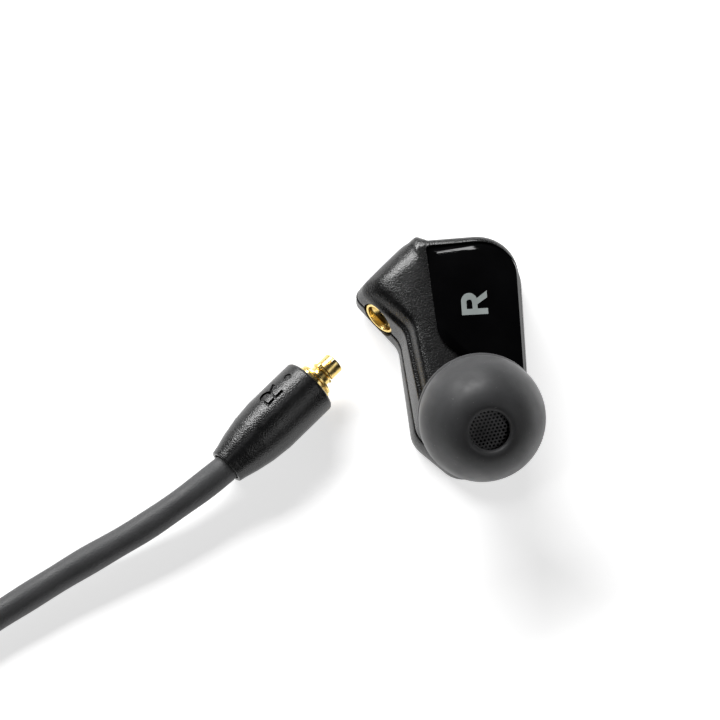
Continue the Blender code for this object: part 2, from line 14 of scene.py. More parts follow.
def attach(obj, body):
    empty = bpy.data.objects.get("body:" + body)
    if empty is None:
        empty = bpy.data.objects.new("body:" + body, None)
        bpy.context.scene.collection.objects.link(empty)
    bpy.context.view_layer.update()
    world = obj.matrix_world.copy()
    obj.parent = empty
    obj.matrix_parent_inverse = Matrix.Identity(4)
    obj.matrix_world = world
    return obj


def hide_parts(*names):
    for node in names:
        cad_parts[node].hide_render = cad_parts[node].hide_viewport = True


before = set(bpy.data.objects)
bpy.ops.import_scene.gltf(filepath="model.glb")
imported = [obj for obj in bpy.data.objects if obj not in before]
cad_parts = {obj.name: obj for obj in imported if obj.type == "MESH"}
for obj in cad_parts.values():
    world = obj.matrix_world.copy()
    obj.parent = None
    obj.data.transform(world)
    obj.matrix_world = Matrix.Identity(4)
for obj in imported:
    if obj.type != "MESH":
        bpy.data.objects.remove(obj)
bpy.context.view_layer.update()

MM = 0.001

# --- driving dimensions of the design ----------------------------------------------------------
SEAM_HEIGHT = 3.1
ROOF_HEIGHT = 8.0
WALL = 0.9
ARM_CURVE = 0.034
RIDGE = (Vector((-4.0, 10.4)), Vector((-2.4, 0.6)))
# x, y, corner radius, share of the socket arm, lean of the inner shell's wall at its top edge
HOUSING_CORNERS = [
    (6.35, 13.55, 6.3, 0.0, 0.7),
    (-3.65, 12.5, 0.6, 0.1, 0.7),
    (-4.8, 13.3, 0.6, 0.3, 0.7),
    (-7.0, 12.3, 5.0, 0.6, 0.8),
    (-11.85, 6.95, 1.2, 1.0, 0.4),
    (-6.9, 1.5, 3.0, 0.45, 0.6),
    (-5.5, -9.3, 3.0, 0.0, 1.25),
    (-0.8, -13.4, 3.0, 0.0, 1.1),
    (6.2, -11.6, 3.6, 0.0, 0.8),
    (7.05, -4.0, 6.0, 0.0, 0.6),
]
FOOT_INSETS = [0.3, 0.2, 0.2, 0.2, 0.1, 0.25, 0.55, 0.45, 0.3, 0.3]
BODY_SPINE = (0.8, -8.5, 8.0)
PANEL_CORNERS = [
    (5.7, 11.75, 5.0, 0.3),
    (-4.0, 10.75, 0.4, 1.0),
    (-2.75, 0.3, 3.2, 0.9),
    (1.4, -3.2, 1.4, 0.4),
    (6.5, -4.6, 0.8, 0.3),
]
PANEL_FOOT = ROOF_HEIGHT + 0.1
PANEL_TOP = PANEL_FOOT + 0.9

NOZZLE_AXIS = Vector((0.10, -0.50, 0.80)).normalized()
NOZZLE_ROOT = Vector((1.24, -7.51, 7.5))
WEDGE_DROP = 0.6
NOZZLE_END = 8.6
BOSS_RADIUS = 3.3

PLUG_HEIGHT = 3.3
SOCKET_CENTRE = Vector((-9.2, 4.05, PLUG_HEIGHT))
PLUG_ANGLE = radians(46.0)
PLUG_AXIS = Vector((cos(PLUG_ANGLE), sin(PLUG_ANGLE), 0.0))
FACET_LEAN = tan(radians(8.0))
SOCKET_RADIUS = 1.95
SOCKET_LENGTH = 4.2
SOCKET_RECESS = 0.35
PLUG_GAP = 6.5
GOLD_LENGTH = 3.6
BOOT_LENGTH = 12.8
BOOT_RADIUS = 3.22
BOOT_TAIL_RADIUS = 2.05

GUIDE_DIAMETER = 3.0
BRANCH_DIAMETER = 2.0
TRUNK_DIAMETER = 2.4
COIL_CENTRE = Vector((-82.0, -17.0, 0.0))
Y_CENTRE = Vector((-77.0, 10.0, 2.3))
Y_LENGTH = 14.0
BRANCH_SPREAD = 1.25
SLIDER_CENTRE_X = -87.2
JACK_REAR = Vector((-65.0, 20.5, 3.6))
JACK_AXIS = Vector((-1.0, 0.0, 0.0))

# routes: listed points where the cord lies free; round the coil as (degrees, radius, height)
RIGHT_GUIDE_ROUTE = [
    (-25.4, -12.75, 3.3), (-28.8, -15.5, 3.1), (-34.0, -19.1, 2.6), (-41.1, -23.3, 2.05),
    (-48.6, -28.1, 1.65), (-56.0, -33.1, 1.55), (-63.5, -37.6, 1.55), (-71.5, -40.8, 1.55),
    (-78.5, -42.0, 1.55),
]
RIGHT_TAIL_ROUTE = [
    (-83.3, 25.1, 1.55), (-98, 25.0, 1.9), (-114, 24.6, 3.1), (-130, 23.7, 4.9), (-146, 22.3, 6.9),
    (-159, 20.9, 8.3), (-168, 20.0, 8.7),
]
RIGHT_LEAD_ROUTE = [
    (122, 31.4, 1.9), (136, 28.6, 2.2), (150, 25.6, 3.4), (163, 23.0, 5.2), (174, 21.0, 6.5),
    (182, 20.0, 6.85),
]
LEFT_LEAD_ROUTE = [
    (122, 28.6, 1.9), (136, 25.8, 2.5), (148, 23.4, 4.2), (156, 21.8, 6.0), (163, 20.6, 6.9),
]
LEFT_END_ROUTE = [(-90, 14.7, 11.1), (-60, 14.8, 11.1), (-30, 14.9, 11.15), (-3.5, 15.1, 11.3)]
LEFT_GUIDE_ROUTE = [
    (-1, 15.1, 11.65), (45, 15.4, 11.65), (90, 15.6, 11.7), (135, 15.6, 11.9), (180, 15.6, 12.6),
    (215, 15.6, 13.2), (229, 15.7, 13.3),
]
LEFT_PLUG_TURN = radians(231.0)
LEFT_PLUG_HEADING = Vector((-sin(LEFT_PLUG_TURN), cos(LEFT_PLUG_TURN), 0.0))
TRUNK_LEAD_ROUTE = [
    (-69.6, 10.0, 2.3), (-66.0, 9.2, 1.9), (-61.5, 5.5, 1.5), (-59.0, -1.0, 1.4),
    (-58.6, -8.0, 1.6), (-59.9, -14.2, 1.85),
]
TRUNK_TAIL_ROUTE = [
    (-72.0, 3.2, 4.3), (-67.5, 2.4, 4.7), (-62.5, 3.0, 4.8), (-58.7, 6.6, 4.2),
    (-57.2, 11.6, 3.1), (-58.6, 17.0, 2.9), (-61.8, 20.2, 3.4), (-64.7, 20.5, 3.6),
]
# how far from its middle the panel's face starts to roll off, and how fast it falls from there
PANEL_ROLL = (1.2, 0.048)
LETTER_CENTRE = (1.08, 3.95, 9.0)
LETTER_TURN = radians(3.5)
MARK_TURN = 32.0
SLEEVE_TUCK = 0.9
ROUTE_STEP = 1.4
SLEEVE_STEP = 0.9
EDGE_ANGLE = 32.0


# --- shader helpers ------------------------------------------------------------------------------
def new_material(name, colour, roughness, metallic=0.0, **sockets):
    """A Principled material, returned with its node tree and its shader."""
    material = bpy.data.materials.new(name)
    material.use_nodes = True
    tree = material.node_tree
    shader = tree.nodes["Principled BSDF"]
    shader.inputs["Base Color"].default_value = (*colour, 1.0)
    shader.inputs["Roughness"].default_value = roughness
    shader.inputs["Metallic"].default_value = metallic
    for socket, value in sockets.items():
        shader.inputs[socket.replace("_", " ").title().replace("Ior", "IOR")].default_value = value
    return material, tree, shader


def wire(tree, source, target):
    tree.links.new(source, target)


def object_place(tree):
    return tree.nodes.new("ShaderNodeTexCoord").outputs["Object"]


def math_node(tree, operation, first, second):
    node = tree.nodes.new("ShaderNodeMath")
    node.operation = operation
    for slot, value in enumerate((first, second)):
        if isinstance(value, (int, float)):
            node.inputs[slot].default_value = value
        else:
            wire(tree, value, node.inputs[slot])
    return node.outputs[0]


def noise_node(tree, vector, scale, detail=3.0, roughness=0.55):
    node = tree.nodes.new("ShaderNodeTexNoise")
    node.inputs["Detail"].default_value = detail
    node.inputs["Roughness"].default_value = roughness
    wire(tree, vector, node.inputs["Vector"])
    if isinstance(scale, (int, float)):
        node.inputs["Scale"].default_value = scale
    else:
        wire(tree, scale, node.inputs["Scale"])
    return node.outputs["Fac"]


def ramp(tree, value, low, high, to_low=0.0, to_high=1.0):
    node = tree.nodes.new("ShaderNodeMapRange")
    node.inputs["From Min"].default_value = low
    node.inputs["From Max"].default_value = high
    node.inputs["To Min"].default_value = to_low
    node.inputs["To Max"].default_value = to_high
    wire(tree, value, node.inputs["Value"])
    return node.outputs["Result"]


def new_group(name, inputs, outputs):
    """A node group with float inputs (name, default) and named outputs."""
    group = bpy.data.node_groups.new(name, "ShaderNodeTree")
    for label, default in inputs:
        socket = group.interface.new_socket(label, in_out="INPUT", socket_type="NodeSocketFloat")
        socket.default_value = default
    for label in outputs:
        group.interface.new_socket(label, in_out="OUTPUT", socket_type="NodeSocketFloat")
    return group, group.nodes.new("NodeGroupInput"), group.nodes.new("NodeGroupOutput")


def grain_group():
    """Spark-eroded mould grain: rounded pits over a finer tooth, and a mask of the high spots."""
    group, given, out = new_group("mould_grain", [("Scale", 6000.0), ("Tooth", 0.35)],
                                  ["Height", "Peaks"])
    place = object_place(group)
    cells = group.nodes.new("ShaderNodeTexVoronoi")
    cells.feature = "SMOOTH_F1"
    cells.inputs["Smoothness"].default_value = 0.7
    wire(group, place, cells.inputs["Vector"])
    wire(group, given.outputs["Scale"], cells.inputs["Scale"])
    fine = noise_node(group, place, math_node(group, "MULTIPLY", given.outputs["Scale"], 1.9), 2.0)
    tooth = math_node(group, "MULTIPLY", fine, given.outputs["Tooth"])
    height = math_node(group, "ADD", cells.outputs["Distance"], tooth)
    wire(group, height, out.inputs["Height"])
    wire(group, ramp(group, height, 0.45, 0.95), out.inputs["Peaks"])
    return group


def wear_group():
    """Where hands and cases rub: a mask of the proud edges, broken up by a slow noise."""
    group, given, out = new_group("edge_wear", [("Sharpness", 8.0), ("Breakup", 900.0)], ["Mask"])
    geometry = group.nodes.new("ShaderNodeNewGeometry")
    place = object_place(group)
    proud = math_node(group, "SUBTRACT", geometry.outputs["Pointiness"], 0.5)
    proud = math_node(group, "MULTIPLY", proud, given.outputs["Sharpness"])
    broken = ramp(group, noise_node(group, place, given.outputs["Breakup"], 4.0), 0.35, 0.7)
    mask = math_node(group, "MULTIPLY", proud, broken)
    node = group.nodes.new("ShaderNodeClamp")
    wire(group, mask, node.inputs["Value"])
    wire(group, node.outputs["Result"], out.inputs["Mask"])
    return group


def handling_group():
    """Soft fingertip smears and a little dust, as two masks."""
    group, given, out = new_group("handling", [("Smear", 260.0), ("Dust", 5200.0)],
                                  ["Smears", "Specks"])
    place = object_place(group)
    smears = noise_node(group, place, given.outputs["Smear"], 4.0, 0.6)
    specks = noise_node(group, place, given.outputs["Dust"], 1.0, 0.5)
    wire(group, ramp(group, smears, 0.35, 0.7), out.inputs["Smears"])
    wire(group, ramp(group, specks, 0.74, 0.8), out.inputs["Specks"])
    return group


def use_group(tree, group, **values):
    node = tree.nodes.new("ShaderNodeGroup")
    node.node_tree = group
    for name, value in values.items():
        node.inputs[name].default_value = value
    return node


def mix_colour(tree, amount, first, second):
    node = tree.nodes.new("ShaderNodeMix")
    node.data_type = "RGBA"
    for slot, value in ((6, first), (7, second)):
        if isinstance(value, tuple):
            node.inputs[slot].default_value = (*value, 1.0)
        else:
            wire(tree, value, node.inputs[slot])
    wire(tree, amount, node.inputs[0])
    return node.outputs[2]


def add_bump(tree, height, strength, depth, below=None):
    node = tree.nodes.new("ShaderNodeBump")
    node.inputs["Strength"].default_value = strength
    node.inputs["Distance"].default_value = depth * MM
    wire(tree, height, node.inputs["Height"])
    if below is not None:
        wire(tree, below, node.inputs["Normal"])
    return node.outputs["Normal"]


def moulded(name, colour, worn, roughness, grain_scale, depth, groups, tooth=0.35, spread=0.08,
            wear=0.5, **sockets):
    """Grained moulding: grain bump, lighter worn edges, roughness and tone that wander slowly."""
    material, tree, shader = new_material(name, colour, roughness, **sockets)
    grain = use_group(tree, groups["grain"], Scale=grain_scale, Tooth=tooth)
    edges = use_group(tree, groups["wear"])
    touch = use_group(tree, groups["handling"])
    pale = tuple(min(1.0, c * 1.25 + 0.002) for c in colour)
    tone = mix_colour(tree, touch.outputs["Smears"], colour, pale)
    tone = mix_colour(tree, math_node(tree, "MULTIPLY", edges.outputs["Mask"], wear), tone, worn)
    wire(tree, tone, shader.inputs["Base Color"])
    rough = ramp(tree, touch.outputs["Smears"], 0.0, 1.0, roughness - spread, roughness + spread)
    rough = math_node(tree, "ADD", rough, math_node(tree, "MULTIPLY", grain.outputs["Peaks"], 0.06))
    wire(tree, rough, shader.inputs["Roughness"])
    wire(tree, add_bump(tree, grain.outputs["Height"], 0.55, depth), shader.inputs["Normal"])
    return material


def polished(name, colour, groups):
    """Piano-black moulding: a hard coat, with faint rubbed streaks in its roughness and its face."""
    material, tree, shader = new_material(name, colour, 0.05, coat_weight=0.1, coat_roughness=0.02,
                                          specular_ior_level=0.17)
    touch = use_group(tree, groups["handling"], Smear=180.0, Dust=3600.0)
    wire(tree, ramp(tree, touch.outputs["Smears"], 0.0, 1.0, 0.025, 0.06), shader.inputs["Roughness"])
    tone = mix_colour(tree, touch.outputs["Smears"], colour, (0.0035, 0.0035, 0.0038))
    wire(tree, tone, shader.inputs["Base Color"])
    place = object_place(tree)
    stretch = tree.nodes.new("ShaderNodeMapping")
    stretch.inputs["Rotation"].default_value = (0.0, 0.0, radians(24.0))
    stretch.inputs["Scale"].default_value = (0.22, 1.0, 1.0)
    wire(tree, place, stretch.inputs["Vector"])
    streaks = noise_node(tree, stretch.outputs["Vector"], 2600.0, 2.0)
    wire(tree, add_bump(tree, streaks, 0.3, 0.012), shader.inputs["Normal"])
    return material


def plated(name, colour, deep, roughness, groups, turning=9000.0):
    """Plated or turned metal: fine turning lines, handling marks, and a warmer tone where the handling mask
    is low.
    """
    material, tree, shader = new_material(name, colour, roughness, metallic=1.0)
    place = object_place(tree)
    touch = use_group(tree, groups["handling"], Smear=700.0, Dust=9000.0)
    edges = use_group(tree, groups["wear"], Sharpness=5.0, Breakup=2500.0)
    tone = mix_colour(tree, touch.outputs["Smears"], deep, colour)
    pale = tuple(min(1.0, c * 1.12 + 0.03) for c in colour)
    wire(tree, mix_colour(tree, edges.outputs["Mask"], tone, pale), shader.inputs["Base Color"])
    rough = ramp(tree, touch.outputs["Smears"], 0.0, 1.0, roughness * 1.35, roughness * 0.8)
    wire(tree, rough, shader.inputs["Roughness"])
    lines = noise_node(tree, place, turning, 1.0)
    wire(tree, add_bump(tree, lines, 0.12, 0.0025), shader.inputs["Normal"])
    return material


def silicone_rubber(groups):
    """Matte silicone: a faint bloom, fine orange peel, and a soft sheen at grazing angles."""
    colour = (0.034, 0.0345, 0.036)
    material, tree, shader = new_material("silicone", colour, 0.52, sheen_weight=0.25, sheen_roughness=0.45,
                                          subsurface_weight=0.04, specular_ior_level=0.42)
    shader.inputs["Subsurface Radius"].default_value = (0.0006, 0.0006, 0.0007)
    place = object_place(tree)
    bloom = noise_node(tree, place, 420.0, 5.0, 0.6)
    touch = use_group(tree, groups["handling"], Smear=500.0, Dust=4200.0)
    tone = mix_colour(tree, ramp(tree, bloom, 0.3, 0.75), colour, (0.047, 0.0475, 0.05))
    tone = mix_colour(tree, touch.outputs["Specks"], tone, (0.12, 0.12, 0.12))
    wire(tree, tone, shader.inputs["Base Color"])
    wire(tree, ramp(tree, touch.outputs["Smears"], 0.0, 1.0, 0.46, 0.6), shader.inputs["Roughness"])
    peel = noise_node(tree, place, 5200.0, 3.0)
    wire(tree, add_bump(tree, peel, 0.22, 0.03), shader.inputs["Normal"])
    return material


def hook_tape():
    """Woven hook-and-loop tape: crossed threads with a fuzzy nap."""
    colour = (0.018, 0.018, 0.019)
    material, tree, shader = new_material("hook_tape", colour, 0.9, sheen_weight=0.6, sheen_roughness=0.5)
    place = object_place(tree)
    nap = noise_node(tree, place, 7000.0, 5.0, 0.7)
    loops = tree.nodes.new("ShaderNodeTexVoronoi")
    loops.inputs["Scale"].default_value = 3300.0
    wire(tree, place, loops.inputs["Vector"])
    height = math_node(tree, "ADD", loops.outputs["Distance"], math_node(tree, "MULTIPLY", nap, 0.8))
    tone = mix_colour(tree, ramp(tree, height, 0.5, 1.2), colour, (0.06, 0.06, 0.063))
    wire(tree, tone, shader.inputs["Base Color"])
    wire(tree, add_bump(tree, height, 0.8, 0.12), shader.inputs["Normal"])
    return material


def make_materials():
    groups = {"grain": grain_group(), "wear": wear_group(), "handling": handling_group()}
    grey = (0.09, 0.09, 0.093)
    return {
        "shell": moulded("grained_shell", (0.0036, 0.0037, 0.0039), grey, 0.26, 6800.0, 0.042, groups,
                         spread=0.02, wear=0.12, specular_ior_level=0.6),
        "gloss": polished("piano_black", (0.0018, 0.0018, 0.002), groups),
        "boot": moulded("moulded_boot", (0.0065, 0.0067, 0.0071), grey, 0.28, 6800.0, 0.047, groups,
                        spread=0.02, wear=0.2, specular_ior_level=0.6),
        "sleeve": moulded("shrunk_sleeve", (0.056, 0.057, 0.059), (0.1, 0.1, 0.1), 0.45, 6200.0, 0.04,
                          groups, tooth=1.2, sheen_weight=0.15),
        "cable": moulded("cable_jacket", (0.014, 0.0142, 0.015), grey, 0.42, 6200.0, 0.015, groups,
                         tooth=1.0),
        "nozzle": moulded("satin_nozzle", (0.014, 0.014, 0.015), grey, 0.35, 7000.0, 0.01, groups),
        "grip": moulded("anodised_grip", (0.016, 0.016, 0.018), (0.35, 0.35, 0.36), 0.3, 9000.0, 0.008,
                        groups, metallic=0.6, wear=0.6),
        "silicone": silicone_rubber(groups),
        "strap": hook_tape(),
        "gold": plated("gold_plate", (1.0, 0.79, 0.34), (0.96, 0.66, 0.2), 0.26, groups),
        "steel": plated("plated_steel", (0.62, 0.62, 0.64), (0.42, 0.42, 0.44), 0.3, groups),
        "magnet": plated("nickel_magnet", (0.55, 0.55, 0.57), (0.4, 0.4, 0.42), 0.25, groups),
        "copper": plated("enamelled_copper", (0.8, 0.36, 0.18), (0.6, 0.24, 0.1), 0.35, groups,
                         turning=16000.0),
        # the screen's grey is partly its own tone and partly painted light: the colour is made paler so the
        # screen reads as lit
        "mesh": moulded("screen_grey_with_painted_light", (0.13, 0.13, 0.135), (0.4, 0.4, 0.4), 0.35, 16000.0, 0.004, groups,
                        metallic=0.2),
        "foam": moulded("open_foam", (0.05, 0.05, 0.052), grey, 0.9, 3500.0, 0.2, groups),
        "film": moulded("formed_film", (0.45, 0.5, 0.55), (0.6, 0.6, 0.6), 0.3, 5000.0, 0.003, groups,
                        wear=0.1),
        "board": moulded("circuit_board", (0.012, 0.09, 0.035), (0.6, 0.45, 0.2), 0.4, 4200.0, 0.01, groups),
        "insulator": moulded("fluoropolymer", (0.62, 0.60, 0.56), (0.7, 0.7, 0.7), 0.45, 6000.0, 0.006,
                             groups),
        "print": moulded("printed_grey", (0.30, 0.335, 0.325), (0.4, 0.4, 0.4), 0.4, 8000.0, 0.006, groups,
                         wear=0.1),
    }


# --- mesh helpers --------------------------------------------------------------------------------
def frame_along(origin, direction):
    """A frame in millimetres whose +Z points along direction and whose +X stays level."""
    z_axis = Vector(direction).normalized()
    side = Vector((0, 0, 1)).cross(z_axis)
    x_axis = side.normalized() if side.length > 0.01 else Vector((1, 0, 0))
    rotation = Matrix((x_axis, z_axis.cross(x_axis), z_axis)).transposed().to_4x4()
    return Matrix.Translation(Vector(origin)) @ rotation


def link(name, data, material):
    obj = bpy.data.objects.new(name, data)
    data.materials.append(material)
    bpy.context.scene.collection.objects.link(obj)
    return obj


def add_mesh(name, points, faces, material, place=None, sharp=EDGE_ANGLE):
    """A mesh from points in millimetres, with its faces turned outwards and its edges marked sharp."""
    place = place or Matrix.Identity(4)
    mesh = bpy.data.meshes.new(name)
    mesh.from_pydata([(place @ Vector(p)) * MM for p in points], [], faces)
    work = bmesh.new()
    work.from_mesh(mesh)
    bmesh.ops.remove_doubles(work, verts=work.verts, dist=1e-7)
    bmesh.ops.recalc_face_normals(work, faces=work.faces)
    if work.calc_volume(signed=True) < 0:
        bmesh.ops.reverse_faces(work, faces=work.faces)
    work.to_mesh(mesh)
    work.free()
    mesh.shade_smooth()
    mesh.set_sharp_from_angle(angle=radians(sharp))
    return link(name, mesh, material)


def loft(rings, closed_loop=False, caps=True):
    """Points and faces of a skin through equal rings, capped at both ends or joined end to start."""
    count = len(rings[0])
    points = [p for ring in rings for p in ring]
    last = len(rings) if closed_loop else len(rings) - 1
    faces = []
    for k in range(last):
        low, high = k * count, (k + 1) % len(rings) * count
        for i in range(count):
            j = (i + 1) % count
            faces.append((low + i, low + j, high + j, high + i))
    if caps and not closed_loop:
        faces.append(tuple(range(count - 1, -1, -1)))
        faces.append(tuple(range((len(rings) - 1) * count, len(rings) * count)))
    return points, faces


def rounded_ring(corners, steps=12, straight=0):
    """An outline of (x, y, z, radius) corners, each an arc, with points along the straights too."""
    arcs = []
    for i, (x, y, z, radius) in enumerate(corners):
        here = Vector((x, y))
        back = Vector(corners[i - 1][:2]) - here
        ahead = Vector(corners[(i + 1) % len(corners)][:2]) - here
        if radius < 1e-6:
            arcs.append([(x, y, z)])
            continue
        half = acos(max(-0.999999, min(1.0, back.normalized().dot(ahead.normalized())))) / 2
        reach = min(radius / tan(half), 0.48 * back.length, 0.48 * ahead.length)
        radius = reach * tan(half)
        middle = here + (back.normalized() + ahead.normalized()).normalized() * (radius / sin(half))
        start = here + back.normalized() * reach - middle
        finish = here + ahead.normalized() * reach - middle
        turn = atan2(start.x * finish.y - start.y * finish.x, start.dot(finish))
        arc = []
        for k in range(steps + 1):
            angle = turn * k / steps
            arc.append((middle.x + start.x * cos(angle) - start.y * sin(angle),
                        middle.y + start.x * sin(angle) + start.y * cos(angle), z))
        arcs.append(arc)
    ring = []
    for arc, following in zip(arcs, arcs[1:] + arcs[:1]):
        ring += arc
        first, last = Vector(arc[-1]), Vector(following[0])
        ring += [tuple(first.lerp(last, k / (straight + 1))) for k in range(1, straight + 1)]
    return ring


def circle(radius, height, segments):
    return [Vector((radius * cos(2 * pi * i / segments), radius * sin(2 * pi * i / segments), height))
            for i in range(segments)]


def rod(radius, low, high, low_bend=0.0, high_bend=0.0):
    """The corners of a solid rod between two heights, with a rounding for each of its two edges."""
    return [(0, low, 0), (radius, low, low_bend), (radius, high, high_bend), (0, high, 0)]


def turned(name, corners, material, place, segments=72, hollow=False, steps=5, sharp=EDGE_ANGLE,
           reshape=None):
    """A turned piece. Its profile is (radius, height, rounding) corners: a closed loop when hollow,
    otherwise from axis to axis."""
    profile = rounded_ring([(r, h, 0.0, bend) for r, h, bend in corners], steps)
    rings = []
    for r, h, _ in profile:
        ring = circle(r, h, segments)
        rings.append([reshape(p) for p in ring] if reshape else ring)
    return add_mesh(name, *loft(rings, closed_loop=hollow, caps=False), material, place, sharp)


def cut(obj, cutter, operation="DIFFERENCE"):
    """Boolean with a throwaway cutter, applied at once."""
    modifier = obj.modifiers.new("cut", "BOOLEAN")
    modifier.object = cutter
    modifier.operation = operation
    modifier.solver = "EXACT"
    bake_modifiers(obj)
    bpy.data.objects.remove(cutter, do_unlink=True)


def bake_modifiers(obj):
    """Turns the modified shape into the object's own mesh."""
    graph = bpy.context.evaluated_depsgraph_get()
    mesh = bpy.data.meshes.new_from_object(obj.evaluated_get(graph))
    obj.modifiers.clear()
    obj.data = mesh
    mesh.set_sharp_from_angle(angle=radians(EDGE_ANGLE))


def keep(piece, body, *nodes):
    """Rides a piece on its body and says which CAD nodes it stands for."""
    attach(piece, body)
    if nodes:
        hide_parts(*nodes)
    return piece


def between(before, here, ahead, beyond, t):
    """A point on the smooth curve from here to ahead, with its neighbours on either side."""
    return 0.5 * (2 * here + (ahead - before) * t
                  + (2 * before - 5 * here + 4 * ahead - beyond) * t * t
                  + (3 * here - before - 3 * ahead + beyond) * t * t * t)


def smooth_route(points, spacing):
    """Points about spacing apart on a smooth curve through the route's own points."""
    nodes = [Vector(p) for p in points]
    ends = [nodes[0] * 2 - nodes[1]] + nodes + [nodes[-1] * 2 - nodes[-2]]
    route = []
    for k in range(1, len(ends) - 2):
        before, here, ahead, beyond = ends[k - 1:k + 3]
        steps = max(1, round((ahead - here).length / spacing))
        route += [between(before, here, ahead, beyond, i / steps) for i in range(steps)]
    return route + [nodes[-1]]


def smooth_loop(points, steps):
    """A closed smooth curve through points, as (x, y) pairs."""
    count = len(points)
    loop = []
    for k in range(count):
        near = [points[(k + j) % count] for j in (-1, 0, 1, 2)]
        for i in range(steps):
            p = between(*near, i / steps)
            loop.append((p.x, p.y))
    return loop


def around_coil(stations):
    """Points for (degrees, radius, height) stations round the coil's centre."""
    points = []
    for angle, radius, height in stations:
        turn = radians(angle)
        points.append(COIL_CENTRE + Vector((radius * cos(turn), radius * sin(turn), height)))
    return points


# --- cords ---------------------------------------------------------------------------------------
def cord_curve(name, points, diameter, material):
    curve = bpy.data.curves.new(name, "CURVE")
    curve.dimensions = "3D"
    curve.bevel_depth = diameter / 2 * MM
    curve.bevel_resolution = 6
    curve.use_fill_caps = True
    spline = curve.splines.new("POLY")
    spline.points.add(len(points) - 1)
    for slot, point in zip(spline.points, points):
        slot.co = (*(point * MM), 1.0)
    spline.use_smooth = True
    return link(name, curve, material)


def sleeve_over(name, points, radius, material, seed):
    """The heat-shrunk sleeve round the cable: slightly uneven, its ends rolled in."""
    rng = random.Random(seed)
    waves = [(rng.uniform(0.25, 0.9), rng.uniform(0, 2 * pi), rng.uniform(0.004, 0.010)) for _ in range(6)]
    side = Vector((0, 0, 1))
    rings = []
    segments = 40
    travelled = 0.0
    count = len(points)
    for k, point in enumerate(points):
        ahead = (points[min(k + 1, count - 1)] - points[max(k - 1, 0)]).normalized()
        if k:
            travelled += (point - points[k - 1]).length
        side = (side - ahead * side.dot(ahead)).normalized()
        other = ahead.cross(side)
        end = min(1.0, (count - 1 - k) / 3.0)
        uneven = 1 + sum(size * sin(rate * travelled + phase) for rate, phase, size in waves)
        wide = radius * uneven * (0.74 + 0.26 * sin(end * pi / 2))
        ring = []
        for i in range(segments):
            angle = 2 * pi * i / segments
            squeeze = 1 + 0.006 * sin(2 * angle + 0.31 * travelled)
            ring.append(point + (side * cos(angle) + other * sin(angle)) * (wide * squeeze))
        rings.append(ring)
    return add_mesh(name, *loft(rings), material, sharp=50.0)


def branch_straight(side):
    """The straight end of a branch, through the slider into the splitter; side is +1 or -1."""
    y = Y_CENTRE.y + side * BRANCH_SPREAD
    return [(-93.0, y, 1.9), (-88.5, y, 1.9), (Y_CENTRE.x - Y_LENGTH / 2 + 0.6, y, 1.9)]


def right_branch_route():
    """Plug boot, ear guide, up onto the coil, two laps, and down to the splitter."""
    laps = [(-176, 18.6, 9.9), (-184, 17.4, 10.8), (-194, 17.2, 10.0), (-206, 17.2, 9.0), (-218, 17.2, 8.8)]
    laps += [(angle, 17.2, 8.8) for angle in range(-236, -520, -16)]
    laps += [(-524, 17.2, 8.8), (-534, 17.2, 8.8), (-544, 17.2, 8.8), (-554, 17.2, 8.1),
             (-566, 17.2, 7.0), (-578, 17.2, 6.8)]
    laps += [(angle, 17.2, 6.8) for angle in range(-596, -866, -16)]
    laps += [(-872, 17.3, 6.8), (-885, 18.6, 6.85)]
    lead = [(angle - 1080, radius, height) for angle, radius, height in reversed(RIGHT_LEAD_ROUTE)]
    coil = around_coil(RIGHT_TAIL_ROUTE + laps + lead)
    return smooth_route(RIGHT_GUIDE_ROUTE + coil + branch_straight(1), ROUTE_STEP)


def left_branch_route():
    """Splitter, up onto the coil, nearly three laps, and the ear guide with the plug on top."""
    laps = [(176, 17.6, 6.8), (190, 15.0, 6.75), (205, 12.9, 6.6), (225, 12.5, 6.6), (255, 12.6, 6.6),
            (275, 13.4, 6.6), (295, 14.5, 6.75), (312, 14.8, 6.8)]
    laps += [(angle, 14.8, 6.8) for angle in range(330, 510, 18)]
    laps += [(516, 14.8, 7.2), (528, 14.8, 8.2), (540, 14.8, 8.8), (552, 14.8, 8.75), (560, 14.8, 8.4),
             (570, 14.8, 7.8), (582, 14.8, 7.05), (598, 14.8, 6.9), (614, 14.8, 7.3), (630, 14.8, 8.1),
             (645, 14.8, 8.75)]
    laps += [(angle, 14.8, 8.8) for angle in range(664, 946, 18)]
    laps += [(952, 14.8, 9.0), (968, 14.75, 9.9), (982, 14.7, 10.8)]
    coil = around_coil(LEFT_LEAD_ROUTE + laps + LEFT_END_ROUTE + LEFT_GUIDE_ROUTE)
    return smooth_route(branch_straight(-1)[::-1] + coil, ROUTE_STEP)


def trunk_route():
    """Splitter, bottom layer winding inwards, top layer winding out again, and over to the jack."""
    pitch = 2.45
    low = [(-12, 20.4, 1.85), (-30, 19.1, 1.85)]
    low += [(angle, 18.7 - pitch * (-50 - angle) / 360, 1.85) for angle in range(-50, -1491, -16)]
    climb = [(-1508, 8.9, 2.3), (-1526, 8.9, 3.2), (-1544, 8.9, 4.0)]
    high = [(angle, 8.9 + pitch * (-1562 - angle) / 360, 4.3) for angle in range(-1562, -3003, -16)]
    out = [(-3020, 18.75, 4.3), (-3040, 18.8, 4.3), (-3060, 18.8, 4.3), (-3080, 18.8, 4.3),
           (-3100, 18.8, 4.3), (-3120, 18.8, 4.3), (-3140, 18.9, 4.3), (-3158, 20.2, 4.3)]
    start = [(Y_CENTRE.x + Y_LENGTH / 2 - 0.4, Y_CENTRE.y, Y_CENTRE.z)]
    coil = around_coil(low + climb + high + out)
    return smooth_route(start + TRUNK_LEAD_ROUTE + coil + TRUNK_TAIL_ROUTE, 1.6)


